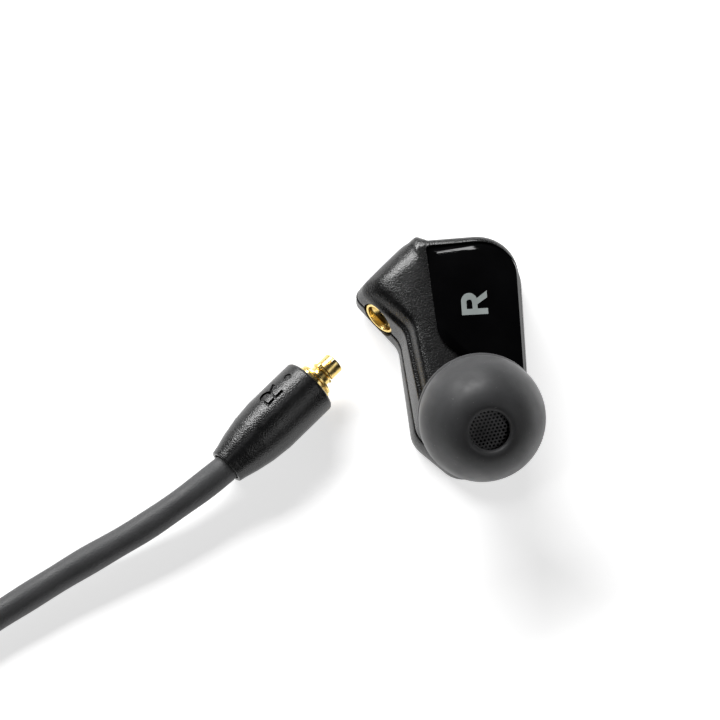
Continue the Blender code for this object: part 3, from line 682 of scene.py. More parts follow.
def make_cables(mats):
    """The three cords of the cable with their sleeves; jack and left_plug are the pieces at their ends."""
    right = right_branch_route()
    left = left_branch_route()
    trunk = trunk_route()
    right_cable = keep(cord_curve("right_branch", right, BRANCH_DIAMETER, mats["cable"]), "cable",
                       "right_branch_tail", "right_branch_lead")
    left_cable = keep(cord_curve("left_branch", left, BRANCH_DIAMETER, mats["cable"]), "cable",
                      "left_branch_lead", "branch_coil", "left_branch_end")
    trunk_cable = keep(cord_curve("trunk_cable", trunk, TRUNK_DIAMETER, mats["cable"]), "cable",
                       "trunk_lead", "trunk_coil", "trunk_tail")
    tucked = Vector(RIGHT_GUIDE_ROUTE[0]) + PLUG_AXIS * SLEEVE_TUCK
    over_right = smooth_route([tucked] + RIGHT_GUIDE_ROUTE + around_coil(RIGHT_TAIL_ROUTE[:1]), SLEEVE_STEP)
    right_sleeve = sleeve_over("right_sleeve", over_right[:-4], GUIDE_DIAMETER / 2, mats["sleeve"], 4)
    keep(right_sleeve, "cable", "right_ear_guide")
    guide = around_coil(LEFT_GUIDE_ROUTE)
    over_left = smooth_route([guide[-1] + LEFT_PLUG_HEADING * SLEEVE_TUCK] + guide[::-1], SLEEVE_STEP)
    left_sleeve = sleeve_over("left_sleeve", over_left, GUIDE_DIAMETER / 2, mats["sleeve"], 9)
    keep(left_sleeve, "cable", "left_ear_guide")


# --- housing -------------------------------------------------------------------------------------
# for each housing corner: shoulder width, shoulder drop, how chamfer-like it is, and its crease
SHOULDERS = [
    (1.3, 1.2, 0.0, 0.0),
    (1.0, 0.9, 0.0, 0.0),
    (1.8, 1.5, 0.0, 0.0),
    (3.3, 2.3, 0.0, 0.0),
    (2.2, 1.5, 0.1, 0.2),
    (1.5, 1.4, 0.3, 1.0),
    (1.5, 1.5, 0.3, 1.0),
    (1.3, 1.2, 0.2, 0.6),
    (1.2, 1.1, 0.0, 0.0),
    (1.1, 1.1, 0.0, 0.0),
]

# along the shoulder where it has a ledge: share, inset share, drop share
LEDGE_PROFILE = [
    (0.0, 0.0, 1.0), (0.0625, 0.035, 0.93), (0.125, 0.10, 0.885), (0.25, 0.22, 0.86),
    (0.375, 0.33, 0.83), (0.4375, 0.375, 0.77), (0.5, 0.415, 0.66), (0.625, 0.52, 0.40),
    (0.75, 0.64, 0.18), (0.875, 0.80, 0.05), (1.0, 1.0, 0.0),
]


def corner_inset(corners, i):
    """The move of corner i, per millimetre of inset, that keeps both its edges parallel."""
    here = Vector(corners[i][:2])
    before = (here - Vector(corners[i - 1][:2])).normalized()
    after = (Vector(corners[(i + 1) % len(corners)][:2]) - here).normalized()
    inward = Vector((-before.y, before.x)) + Vector((-after.y, after.x))
    return inward / (1 + before.dot(after))


def soft_min(a, b, blend):
    """The smaller of two heights, with the edge where they cross rounded over."""
    return 0.5 * (a + b - sqrt((a - b) ** 2 + blend * blend))


def roof(x, y):
    """Height of the inner shell's top: flat over the body, curving down over the arm and falling
    along the nozzle wedge."""
    along = (RIDGE[1] - RIDGE[0]).normalized()
    offset = Vector((x, y)) - RIDGE[0]
    over_arm = along.y * offset.x - along.x * offset.y
    flat = ROOF_HEIGHT - ARM_CURVE * max(0.0, over_arm) ** 2
    root = NOZZLE_ROOT - NOZZLE_AXIS * WEDGE_DROP
    wedge = root.z - (NOZZLE_AXIS.x * (x - root.x) + NOZZLE_AXIS.y * (y - root.y)) / NOZZLE_AXIS.z
    return max(SEAM_HEIGHT + 0.25, soft_min(flat, wedge, 0.3))


def housing_ring(insets, heights):
    """The housing's outline moved inwards by an inset at each corner, at each corner's height."""
    corners = []
    for i, (x, y, radius, _, _) in enumerate(HOUSING_CORNERS):
        move = corner_inset(HOUSING_CORNERS, i) * insets[i]
        corners.append((x + move.x, y + move.y, heights[i], radius))
    return rounded_ring(corners, steps=12, straight=12)


def draped_ring(insets, drops):
    """A ring whose height is the roof's above it, less a drop at each corner."""
    return [(x, y, roof(x, y) - drop) for x, y, drop in housing_ring(insets, drops)]


def towards_spine(ring, share, drop):
    """A ring drawn in by a share towards the line along the middle of the body, draped on the roof."""
    middle_x, low_y, high_y = BODY_SPINE
    inner = []
    for x, y, _ in ring:
        x += (middle_x - x) * share
        y += (max(low_y, min(high_y, y)) - y) * share
        inner.append((x, y, roof(x, y) - drop))
    return inner


def shoulder_ring(share, crease):
    """The rounded shoulder between the wall's top edge, share 0, and the roof, share 1. Where a
    corner has a ledge, a narrow step comes first and then a steeper rise."""
    insets, drops = [], []
    for lean, (width, drop, chamfer, ledge) in zip(crease, SHOULDERS):
        across = (1 - chamfer) * (1 - cos(share * pi / 2)) + chamfer * share
        fall = (1 - chamfer) * (1 - sin(share * pi / 2)) + chamfer * (1 - share)
        low = next(row for row in reversed(LEDGE_PROFILE) if row[0] <= share)
        high = next(row for row in LEDGE_PROFILE if row[0] >= share)
        blend = (share - low[0]) / (high[0] - low[0]) if high[0] > low[0] else 0.0
        step_across = low[1] + (high[1] - low[1]) * blend
        step_fall = low[2] + (high[2] - low[2]) * blend
        insets.append(lean + width * (across + (step_across - across) * ledge))
        drops.append(drop * (fall + (step_fall - fall) * ledge))
    return draped_ring(insets, drops)


def make_inner_shell(material):
    """The upper shell, from its ceiling down inside, under its foot, and up outside to the roof."""
    crease = [row[4] for row in HOUSING_CORNERS]
    count = len(crease)
    rim = SEAM_HEIGHT + 0.05
    ceiling = draped_ring([c + 1.25 for c in crease], [WALL] * count)
    rings = [towards_spine(ceiling, share, WALL) for share in (0.9, 0.6, 0.3)]
    rings.append(ceiling)
    rings.append(draped_ring([c + WALL for c in crease], [WALL + 0.9] * count))
    rings.append(housing_ring([f + WALL for f in FOOT_INSETS], [rim] * count))
    rings.append(housing_ring([f + 0.16 for f in FOOT_INSETS], [rim] * count))
    rings.append(housing_ring([f + 0.06 for f in FOOT_INSETS], [rim + 0.05] * count))
    top_drop = [row[1] for row in SHOULDERS]
    foot = housing_ring(FOOT_INSETS, [rim + 0.16] * count)
    rings.append(foot)
    for k in range(1, 9):
        share = k / 8
        level = draped_ring([f + (c - f) * share ** 1.3 for f, c in zip(FOOT_INSETS, crease)], top_drop)
        rings.append([(x, y, low[2] + (z - low[2]) * share) for (x, y, z), low in zip(level, foot)])
    for k in range(1, 17):
        rings.append(shoulder_ring(k / 16, crease))
    shoulder = rings[-1]
    for k in range(1, 15):
        rings.append(towards_spine(shoulder, 0.98 * k / 14, 0.0))
    return add_mesh("inner_housing", *loft(rings), material, sharp=40.0)


def make_outer_shell(material):
    """The lower shell, from its flat underside up the outside to the seam, and down inside."""
    arm = [row[3] for row in HOUSING_CORNERS]
    count = len(arm)
    rim = SEAM_HEIGHT - 0.05
    rings = []
    for k in range(9):
        turn = k / 8 * pi / 2
        insets = [(1.1 + 2.6 * a) * (1 - sin(turn)) ** 1.1 for a in arm]
        rings.append(housing_ring(insets, [(1.3 + 0.3 * a) * (1 - cos(turn)) for a in arm]))
    wall = [(2.0, 0.15, 0.0), (2.5, 0.5, 0.0), (rim - 0.16, 0.9, -0.06), (rim - 0.08, 0.95, -0.02),
            (rim - 0.02, 1.0, 0.03), (rim, 1.0, 0.1)]
    for height, share, extra in wall:
        insets = [max(0.0, share * (f - 0.04) + extra) for f in FOOT_INSETS]
        rings.append(housing_ring(insets, [height] * count))
    rings.append(housing_ring([f + WALL for f in FOOT_INSETS], [rim] * count))
    rings.append(housing_ring([WALL + 0.1 + 0.3 * a for a in arm], [1.5 + 0.3 * a for a in arm]))
    rings.append(housing_ring([WALL + 0.9 + 2.2 * a for a in arm], [WALL + 0.2 * a for a in arm]))
    return add_mesh("outer_housing", *loft(rings), material, sharp=40.0)


def panel_ring(inset_share, height):
    """The panel's outline, moved inwards by a share of each corner's bevel."""
    corners = []
    for i, (x, y, radius, bevel) in enumerate(PANEL_CORNERS):
        move = corner_inset(PANEL_CORNERS, i) * (bevel * inset_share)
        corners.append((x + move.x, y + move.y, height, max(0.25, radius - bevel * inset_share)))
    return rounded_ring(corners, steps=14, straight=14)


def crowned(x, y, z):
    """The panel's face: flat, then rolling off towards its top edge and, less, its two top corners."""
    side = (x - 1.5) * 0.55
    north = max(0.0, y - 6.5)
    beyond = max(0.0, sqrt(side * side + north * north) - PANEL_ROLL[0])
    return (x, y, z - PANEL_ROLL[1] * beyond * beyond)


def make_gloss_panel(material):
    centre = Vector((1.6, 4.2))
    rings = [panel_ring(0.0, PANEL_FOOT), panel_ring(0.0, PANEL_FOOT + 0.22)]
    for k in range(7):
        share = k / 6
        rings.append([crowned(x, y, z) for x, y, z in panel_ring(share, PANEL_FOOT + 0.3 + 0.6 * share)])
    edge = panel_ring(1.0, PANEL_TOP)
    for k in range(1, 25):
        share = 0.98 * k / 24
        level = [(x + (centre.x - x) * share, y + (centre.y - y) * share) for x, y, _ in edge]
        rings.append([crowned(x, y, PANEL_TOP) for x, y in level])
    return add_mesh("piano_panel", *loft(rings), material, sharp=14.0)


# --- letter and marks ----------------------------------------------------------------------------
def letter_outlines(stroke):
    """The letter's outer edge and its counter, 2.6 wide and 3.0 high from its lower left."""
    outer = [(0, 0), (stroke, 0), (stroke, 1.17), (1.13, 1.17), (1.84, 0), (2.6, 0), (1.80, 1.19)]
    for k in range(13):
        angle = radians(-66 + 156 * k / 12)
        outer.append((1.5 + 0.93 * cos(angle), 2.07 + 0.93 * sin(angle)))
    outer += [(0, 3.0)]
    counter = [(stroke, 1.17 + stroke * 0.88)]
    reach = 0.93 - stroke
    for k in range(9):
        angle = radians(-90 + 180 * k / 8)
        counter.append((1.42 + reach * cos(angle), 2.08 + reach * 1.15 * sin(angle)))
    counter.append((stroke, 3.0 - stroke * 0.92))
    return outer, counter


def letter_mesh(name, place, scale, stroke, low, high, material, height=1.0):
    """The letter as a thin solid between two heights of its own frame, centred on it."""
    curve = bpy.data.curves.new(name, "CURVE")
    curve.dimensions = "2D"
    curve.fill_mode = "BOTH"
    curve.extrude = (high - low) / 2 * MM
    for outline in letter_outlines(stroke):
        spline = curve.splines.new("POLY")
        spline.points.add(len(outline) - 1)
        for slot, (u, v) in zip(spline.points, outline):
            slot.co = ((u - 1.3) * scale * MM, (v - 1.5) * height * scale * MM, 0.0, 1.0)
        spline.use_cyclic_u = True
    obj = link(name, curve, material)
    graph = bpy.context.evaluated_depsgraph_get()
    mesh = bpy.data.meshes.new_from_object(obj.evaluated_get(graph))
    bpy.data.objects.remove(obj, do_unlink=True)
    work = bmesh.new()
    work.from_mesh(mesh)
    bmesh.ops.remove_doubles(work, verts=work.verts, dist=1e-7)
    shift = Matrix.Translation((0, 0, (low + high) / 2 * MM))
    place = place.copy()
    place.translation *= MM
    bmesh.ops.transform(work, matrix=place @ shift, verts=work.verts)
    bmesh.ops.recalc_face_normals(work, faces=work.faces)
    work.to_mesh(mesh)
    work.free()
    return link(name, mesh, material)


def letter_frame(centre, right, up):
    """A frame for a letter, from the ways its lines run and its tops point."""
    normal = right.cross(up)
    return Matrix.Translation(centre) @ Matrix((right, up, normal)).transposed().to_4x4()


# --- earpiece ------------------------------------------------------------------------------------
def make_housing(mats):
    """Both shells with their bores cut, the gloss panel, and the side letter printed on it."""
    nozzle_line = frame_along(NOZZLE_ROOT, NOZZLE_AXIS)
    plug_line = frame_along(SOCKET_CENTRE, PLUG_AXIS)
    inner = make_inner_shell(mats["shell"])
    outer = make_outer_shell(mats["shell"])
    boss = turned("boss", rod(BOSS_RADIUS, -2.6, 0.0, high_bend=0.25), mats["shell"], nozzle_line)
    cut(inner, boss, "UNION")
    cut(inner, turned("bore", rod(2.6, -5, 1), mats["shell"], nozzle_line))
    well = [(0, -2.5, 0), (2.22, -2.5, 0), (2.1, 0.35, 0.1), (2.05, SOCKET_LENGTH + 0.6, 0),
            (0, SOCKET_LENGTH + 0.6, 0)]
    for shell in (inner, outer):
        cut(shell, turned("well", well, mats["shell"], plug_line, segments=96))
    panel = make_gloss_panel(mats["gloss"])
    across = Vector((-sin(LETTER_TURN), cos(LETTER_TURN), 0.0))
    up = Vector((-cos(LETTER_TURN), -sin(LETTER_TURN), 0.0))
    letter = letter_mesh("side_letter", letter_frame(Vector(LETTER_CENTRE), across, up), scale=1.02,
                         stroke=0.65, low=-0.04, high=0.012, material=mats["print"], height=0.91)
    keep(inner, "earpiece", "inner_shell")
    keep(outer, "earpiece", "outer_shell")
    keep(panel, "earpiece", "gloss_panel")
    keep(letter, "earpiece")


def make_nozzle(mats):
    """The nozzle tube with its collar and its lip for the tip, and the screen over its end."""
    line = frame_along(NOZZLE_ROOT, NOZZLE_AXIS)
    bore = 1.9
    stem = [(bore, -1.3, 0.1), (2.5, -1.3, 0.1), (2.5, 0.1, 0), (3.2, 0.1, 0.1), (3.2, 0.6, 0.15),
            (2.4, 1.0, 0.2), (2.3, 1.5, 0.3), (2.3, 7.0, 0.3), (2.6, 7.4, 0.25), (2.6, 8.1, 0.3),
            (2.38, NOZZLE_END, 0.1), (bore, NOZZLE_END, 0.1)]
    keep(turned("nozzle_stem", stem, mats["nozzle"], line, hollow=True), "earpiece", "nozzle")
    keep(perforated_disc("nozzle_screen", 2.36, mats["mesh"], line), "earpiece", "nozzle_mesh")


def perforated_disc(name, radius, material, place):
    """Close-packed round holes etched through a thin domed disc, with its outer edge walled."""
    pitch = 0.41
    hole = 0.136
    low, high = NOZZLE_END + 0.04, NOZZLE_END + 0.12
    points, faces = [], []
    rows = int(radius / (pitch * 0.866)) + 1
    for row in range(-rows, rows + 1):
        for column in range(-rows - 1, rows + 2):
            cx = (column + 0.5 * (row % 2)) * pitch
            cy = row * pitch * sqrt(3) / 2
            if cx * cx + cy * cy > radius * radius:
                continue
            cell = []
            for k in range(12):
                angle = radians(30 * k + 30)
                wide = pitch / sqrt(3) if k % 2 == 0 else pitch / 2
                cell.append((cx + wide * cos(angle), cy + wide * sin(angle),
                             cx + hole * cos(angle), cy + hole * sin(angle)))
            base = len(points)
            for ox, oy, ix, iy in cell:
                for x, y in ((ox, oy), (ix, iy)):
                    dome = 0.06 * (1 - (x * x + y * y) / (radius * radius))
                    points += [(x, y, low + dome), (x, y, high + dome)]
            for k in range(12):
                a = base + 4 * k
                b = base + 4 * ((k + 1) % 12)
                faces += [(a + 1, b + 1, b + 3, a + 3), (a + 2, b + 2, b, a), (a + 3, b + 3, b + 2, a + 2)]
    mesh = bpy.data.meshes.new(name)
    mesh.from_pydata([(place @ Vector(p)) * MM for p in points], [], faces)
    work = bmesh.new()
    work.from_mesh(mesh)
    bmesh.ops.remove_doubles(work, verts=work.verts, dist=2e-6)
    outer_edge = [edge for edge in work.edges if len(edge.link_faces) == 1]
    bmesh.ops.bridge_loops(work, edges=outer_edge)
    bmesh.ops.recalc_face_normals(work, faces=work.faces)
    work.to_mesh(mesh)
    work.free()
    return link(name, mesh, material)


def make_ear_tip(mats):
    """Dome, rolled skirt rim and rounded sound hole, in one moulding with its own grip sleeve."""
    line = frame_along(NOZZLE_ROOT, NOZZLE_AXIS)
    outside = [(2.09, 9.3), (2.14, 9.52), (2.3, 9.7), (2.6, 9.78), (3.1, 9.68), (3.7, 9.40), (4.3, 8.97),
               (4.9, 8.35), (5.5, 7.5), (5.95, 6.7), (6.3, 5.8), (6.52, 4.9), (6.6, 4.1), (6.58, 3.4),
               (6.52, 2.95), (6.47, 2.78), (6.5, 2.6), (6.57, 2.4), (6.56, 2.05), (6.42, 1.7)]
    inside = [(6.28, 1.56), (6.12, 1.5), (5.98, 1.6), (6.02, 2.2), (6.1, 3.0), (6.1, 4.2), (5.95, 5.2),
              (5.6, 6.1), (4.6, 7.5), (4.0, 7.9), (3.65, 7.85), (3.48, 7.3), (3.42, 5.0), (3.4, 2.2),
              (3.25, 1.85), (2.95, 1.8), (2.78, 2.0), (2.75, 4.0), (2.75, 8.6), (2.7, 8.85), (2.3, 8.95),
              (2.1, 9.05)]
    loop = [Vector((r, h, 0)) for r, h in outside + inside]
    rings = [circle(r, h, 144) for r, h in smooth_loop(loop, 4)]
    tip = add_mesh("silicone_tip", *loft(rings, closed_loop=True), mats["silicone"], line, sharp=60.0)
    keep(tip, "ear_tip", "ear_tip")


def make_socket(mats):
    """The gold socket: a bright rolled lip cut to the facet's lean, a stepped bore and a keyed notch."""
    barrel_line = frame_along(SOCKET_CENTRE + PLUG_AXIS * SOCKET_RECESS, PLUG_AXIS)
    socket_line = frame_along(SOCKET_CENTRE, PLUG_AXIS)
    rear = SOCKET_LENGTH - SOCKET_RECESS
    lip_depth = 0.7

    def lean(point):
        share = max(0.0, 1.0 - point.z / lip_depth)
        lift = (barrel_line.to_3x3() @ Vector((point.x, point.y, 0))).z
        return Vector((point.x, point.y, point.z + FACET_LEAN * lift * share))

    profile = [(1.22, 1.0, 0.05), (1.5, 0.62, 0.1), (1.6, 0.5, 0.05), (1.63, 0.02, 0.07),
               (SOCKET_RADIUS - 0.02, -0.02, 0.12), (SOCKET_RADIUS, 0.5, 0.1), (SOCKET_RADIUS, rear, 0.1),
               (1.22, rear, 0.05)]
    shell = turned("socket_barrel", profile, mats["gold"], barrel_line, segments=96, hollow=True,
                   reshape=lean)
    notch = bevelled_block("notch", Vector((0, 1.66, 0.35)), Vector((0.42, 0.3, 1.2)), 0.05, mats["gold"],
                           barrel_line)
    cut(shell, notch)
    keep(shell, "earpiece", "socket_shell")
    fingers = [turned_arc("finger", 0.2, 0.4, 1.05, 3.1, radians(start), radians(start + 74), socket_line,
                          mats["gold"]) for start in (8, 98, 188, 278)]
    keep(join("socket_fingers", fingers), "earpiece", "socket_contact")
    collar = rod(1.15, 3.2, SOCKET_LENGTH, 0.08, 0.08)
    keep(turned("socket_collar", collar, mats["insulator"], socket_line), "earpiece", "socket_insulator")


def turned_arc(name, inner, outer, low, high, start, finish, place, material, steps=8, bend=0.03):
    """Part of a tube, closed all round."""
    corners = [(inner, low), (outer, low), (outer, high), (inner, high)]
    profile = rounded_ring([(r, h, 0, bend) for r, h in corners], 3)
    rings = []
    for k in range(steps + 1):
        angle = start + (finish - start) * k / steps
        rings.append([(r * cos(angle), r * sin(angle), h) for r, h, _ in profile])
    return add_mesh(name, *loft(rings), material, place)


def join(name, objects):
    """One object from several, in the first one's material."""
    work = bmesh.new()
    for obj in objects:
        work.from_mesh(obj.data)
    mesh = bpy.data.meshes.new(name)
    work.to_mesh(mesh)
    work.free()
    material = objects[0].data.materials[0]
    for obj in objects:
        bpy.data.objects.remove(obj, do_unlink=True)
    mesh.set_sharp_from_angle(angle=radians(EDGE_ANGLE))
    return link(name, mesh, material)


def bevelled_block(name, centre, size, bevel, material, place=None, segments=3):
    mesh = bpy.data.meshes.new(name)
    work = bmesh.new()
    bmesh.ops.create_cube(work, size=1.0)
    bmesh.ops.scale(work, vec=size, verts=work.verts)
    bmesh.ops.translate(work, vec=centre, verts=work.verts)
    bmesh.ops.bevel(work, geom=work.edges[:], offset=bevel, segments=segments, profile=0.5, affect="EDGES")
    bmesh.ops.transform(work, matrix=Matrix.Scale(MM, 4) @ (place or Matrix.Identity(4)), verts=work.verts)
    work.to_mesh(mesh)
    work.free()
    mesh.shade_smooth()
    mesh.set_sharp_from_angle(angle=radians(EDGE_ANGLE))
    return link(name, mesh, material)


# --- plugs ---------------------------------------------------------------------------------------
def flange_shape(point):
    """The crimped flange: six shallow flats with softened corners, and the other points as they are."""
    if not -3.56 < point.z < -3.06:
        return point
    angle = atan2(point.y, point.x)
    radius = sqrt(point.x ** 2 + point.y ** 2)
    if radius < 1.5:
        return point
    flat = cos(pi / 6) / cos((angle % (pi / 3)) - pi / 6)
    wide = min(2.2, 2.42 * flat) / 2.2
    return Vector((point.x * wide, point.y * wide, point.z))


def make_plug(side, body, mats, origin, heading, flip):
    """A plug along its axis, heading out of the boot, origin at the end of the barrel."""
    line = frame_along(origin, heading)
    front = -GOLD_LENGTH
    rear = front - BOOT_LENGTH
    profile = [(0, rear + 0.9, 0), (1.64, rear + 0.9, 0.1), (1.68, rear, 0.08),
               (BOOT_TAIL_RADIUS, rear, 0.16), (2.22, rear + 0.8, 0.8), (2.6, rear + 2.2, 2.0),
               (3.0, rear + 4.2, 3.0), (BOOT_RADIUS, rear + 6.4, 4.0), (BOOT_RADIUS, front, 0.42),
               (2.3, front, 0.1), (2.25, front + 0.02, 0), (0, front + 0.02, 0)]
    boot = turned(side + "_boot", profile, mats["boot"], line, segments=128, steps=8, sharp=40.0)
    side_way = Vector((0, 0, 1)).cross(heading) * flip
    turn = radians(MARK_TURN)
    normal = Vector((0, 0, cos(turn))) + side_way * sin(turn)
    across = Vector((0, 0, -sin(turn))) + side_way * cos(turn)
    surface = Vector(origin) + normal * BOOT_RADIUS
    dot_place = frame_along(surface - heading * (GOLD_LENGTH + 1.75), normal)
    dot = [(0, -0.16, 0), (0.43, -0.16, 0), (0.47, 0.3, 0), (0, 0.3, 0)]
    cut(boot, turned("dot", dot, mats["boot"], dot_place, segments=32))
    if side == "right":
        place = letter_frame(surface - heading * (GOLD_LENGTH + 4.45), across, -heading)
        cut(boot, letter_mesh("mark", place, scale=0.80, stroke=0.46, low=-0.34, high=0.4,
                              material=mats["boot"]))
    else:
        place = frame_along(surface - heading * (GOLD_LENGTH + 4.4), normal)
        dimple = [(0, -0.2, 0), (0.3, -0.2, 0), (0.33, 0.3, 0), (0, 0.3, 0)]
        for start in (0.0, 0.55):
            shifted = place @ Matrix.Translation((0, start, 0))
            cut(boot, turned("dimple", dimple, mats["boot"], shifted, segments=24))
    shell = [(0.75, -3.5, 0), (1.6, -3.52, 0), (2.2, -3.5, 0.07), (2.2, -3.13, 0.07), (1.75, -3.1, 0.02),
             (1.75, -3.02, 0.02), (1.95, -3.02, 0.06), (1.95, -2.72, 0.06), (1.45, -2.68, 0.05),
             (1.2, -2.6, 0.1), (1.15, -2.0, 0.03), (0.98, -1.97, 0.02), (0.98, -1.57, 0.02),
             (1.15, -1.54, 0.03), (1.15, -0.02, 0.14), (0.82, 0.0, 0.06), (0.75, -0.12, 0.02)]
    gold = turned(side + "_contact", shell, mats["gold"], line, segments=96, hollow=True, steps=4,
                  reshape=flange_shape)
    slot = bevelled_block("slot", Vector((0.0, 1.15, -0.45)), Vector((0.16, 0.9, 1.1)), 0.02, mats["gold"],
                          line)
    cut(gold, slot)
    ring = turned_arc(side + "_ring", 1.0, 1.34, -1.92, -1.63, radians(-150), radians(150), line,
                      mats["gold"], steps=60, bend=0.11)
    bead = turned("bead", rod(0.3, -0.3, 0.3, 0.29, 0.29), mats["gold"],
                  line @ Matrix.Translation((0.45, 1.22 * flip, -1.78)), segments=32)
    core = turned(side + "_core", rod(0.72, -3.4, -1.7, high_bend=0.06), mats["insulator"], line,
                  segments=48)
    pin = turned(side + "_centre_pin", rod(0.14, -1.6, -0.25, high_bend=0.1), mats["gold"], line,
                 segments=24)
    return [keep(boot, body, side + "_plug_boot"), keep(gold, body, side + "_plug_shell"),
            keep(join(side + "_spring_ring", [ring, bead]), body, side + "_plug_snap_ring"),
            keep(core, body, side + "_plug_insulator"), keep(pin, body, side + "_plug_pin")]


# --- splitter, slider, tie and jack ----------------------------------------------------------------
def make_splitter(mats):
    """The moulded fork that joins the branches to the trunk, with a grip rib round each end."""
    x, y, z = Y_CENTRE
    sections = [(-7.0, 2.9, 1.4), (-6.85, 3.25, 1.7), (-6.4, 3.6, 2.0), (-5.6, 3.7, 2.08), (-5.4, 3.5, 1.95),
                (-5.0, 3.5, 1.95), (-4.8, 3.7, 2.1), (-2.5, 3.72, 2.18), (-1.0, 3.66, 2.2), (1.0, 3.2, 2.17),
                (3.0, 2.66, 2.12), (4.6, 2.32, 2.08), (4.8, 2.12, 1.92), (5.2, 2.08, 1.9), (5.4, 2.22, 2.0),
                (6.4, 2.0, 1.88), (6.8, 1.85, 1.72), (7.0, 1.6, 1.5)]
    rings = []
    for along, half_width, half_height in sections:
        corners = [(-half_width, -half_height), (half_width, -half_height), (half_width, half_height),
                   (-half_width, half_height)]
        outline = rounded_ring([(*c, 0.0, 0.9 * half_height) for c in corners], 9, straight=3)
        rings.append([(x + along, y + v, z + w) for v, w, _ in outline])
    keep(add_mesh("splitter", *loft(rings), mats["boot"], sharp=50.0), "cable", "y_splitter")


def make_slider(mats):
    """The chin slider: a rounded block on the two branches, with three grip grooves."""
    slider = bevelled_block("branch_slider", Vector((SLIDER_CENTRE_X, Y_CENTRE.y, Y_CENTRE.z)),
                            Vector((5.0, 7.0, 4.2)), 1.25, mats["boot"], segments=8)
    for sign in (-1, 1):
        place = frame_along((SLIDER_CENTRE_X, Y_CENTRE.y + sign * BRANCH_SPREAD, 1.9), (1, 0, 0))
        cut(slider, turned("hole", rod(1.12, -5, 5), mats["boot"], place, segments=48))
    for offset in (-1.2, 0.0, 1.2):
        groove = bevelled_block("groove", Vector((SLIDER_CENTRE_X + offset, Y_CENTRE.y, Y_CENTRE.z + 2.2)),
                                Vector((0.45, 4.2, 0.5)), 0.1, mats["boot"])
        cut(slider, groove)
    keep(slider, "slider", "cable_slider")


def make_tie(mats):
    """Hook-and-loop strap, a closed band round one side of the coil."""
    inner, outer, low, high = 6.7, 20.3, 0.35, 10.1
    step_in, step_out, knee = 13.0, 18.7, 5.8
    corners = [(inner, low, 0, 0.6), (outer, low, 0, 0.6), (outer, knee, 0, 0.8), (step_out, high, 0, 0.9),
               (step_in, high, 0, 0.9), (inner, knee, 0, 0.8)]
    thickness = 0.33
    thick = []
    for i, (r, h, _, bend) in enumerate(corners):
        move = corner_inset(corners, i) * -thickness
        thick.append((r + move.x, h + move.y, 0, bend + thickness))
    inside = rounded_ring(corners, 10, straight=8)
    outside = rounded_ring(thick, 10, straight=8)
    half = 2.5
    across = [(inside, -half + 0.1), (outside, -half), (outside, -1.2), (outside, 1.2), (outside, half),
              (inside, half - 0.1)]
    rings = [[(-r, offset, h) for r, h, _ in ring] for ring, offset in across]
    turn = Matrix.Translation(COIL_CENTRE) @ Matrix.Rotation(radians(40.0), 4, "Z")
    tie = add_mesh("tie", *loft(rings, closed_loop=True), mats["strap"], turn, sharp=40.0)
    keep(tie, "cable", "coil_tie")


def make_jack(mats):
    """The stereo jack: ribbed strain relief, grooved grip, and the contacts with the bands between."""
    line = frame_along(JACK_REAR, JACK_AXIS)
    relief = [(0, 0.3, 0), (1.6, 0.3, 0.2)]
    for k in range(5):
        start = 1.4 + 1.5 * k
        wide = 1.84 + 0.1 * k
        relief += [(wide, start, 0.08), (wide - 0.34, start + 0.08, 0.06), (wide - 0.3, start + 0.5, 0.06),
                   (wide + 0.04, start + 0.58, 0.08)]
    relief += [(2.36, 9.3, 0.2), (2.4, 9.9, 0.05), (0, 9.9, 0)]
    grip = [(0, 10.0, 0), (2.6, 10.0, 0.2), (3.3, 10.6, 0.5), (3.4, 11.5, 0.3)]
    for k in range(8):
        start = 12.4 + 0.9 * k
        grip += [(3.4, start, 0.05), (3.22, start + 0.1, 0.05), (3.22, start + 0.35, 0.05),
                 (3.4, start + 0.45, 0.05)]
    grip += [(3.4, 20.5, 0.8), (3.2, 22.0, 0.5), (2.7, 22.6, 0.2), (0, 22.6, 0)]
    radius = 1.75
    band = radius - 0.05
    earth = [(0, 22.7, 0), (2.4, 22.7, 0.08), (2.4, 23.2, 0.08), (radius, 23.2, 0.05), (radius, 30.1, 0.03),
             (0, 30.1, 0)]
    point = [(0, 33.0, 0), (radius, 33.0, 0.03), (radius, 34.2, 0.2), (1.25, 34.9, 0.3), (1.65, 35.6, 0.3),
             (1.45, 36.3, 0.5), (0.5, 37.2, 0.3), (0, 37.2, 0)]
    parts = [
        ("jack_relief", relief, "boot", "jack_strain_relief"),
        ("jack_body", grip, "grip", "jack_grip"),
        ("jack_earth", earth, "gold", "jack_sleeve"),
        ("jack_band_rear", rod(band, 30.15, 30.65, 0.02, 0.02), "boot", "jack_rear_insulator"),
        ("jack_middle", rod(radius, 30.7, 32.4, 0.03, 0.03), "gold", "jack_ring"),
        ("jack_band_front", rod(band, 32.45, 32.95, 0.02, 0.02), "boot", "jack_front_insulator"),
        ("jack_point", point, "gold", "jack_tip"),
    ]
    return [keep(turned(name, profile, mats[finish], line, segments=72), "cable", node)
            for name, profile, finish, node in parts]


def dress_inner_parts(mats):
    """Finishes for the CAD nodes that stay as they are, inside the housing."""
    finishes = {
        "nozzle_damper": "foam", "driver_basket": "steel", "driver_magnet": "magnet", "pole_plate": "steel",
        "voice_coil": "copper", "diaphragm": "film", "treble_driver": "steel", "crossover_board": "board",
    }
    for node, finish in finishes.items():
        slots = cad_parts[node].data.materials
        for index in range(len(slots)):
            slots[index] = mats[finish]


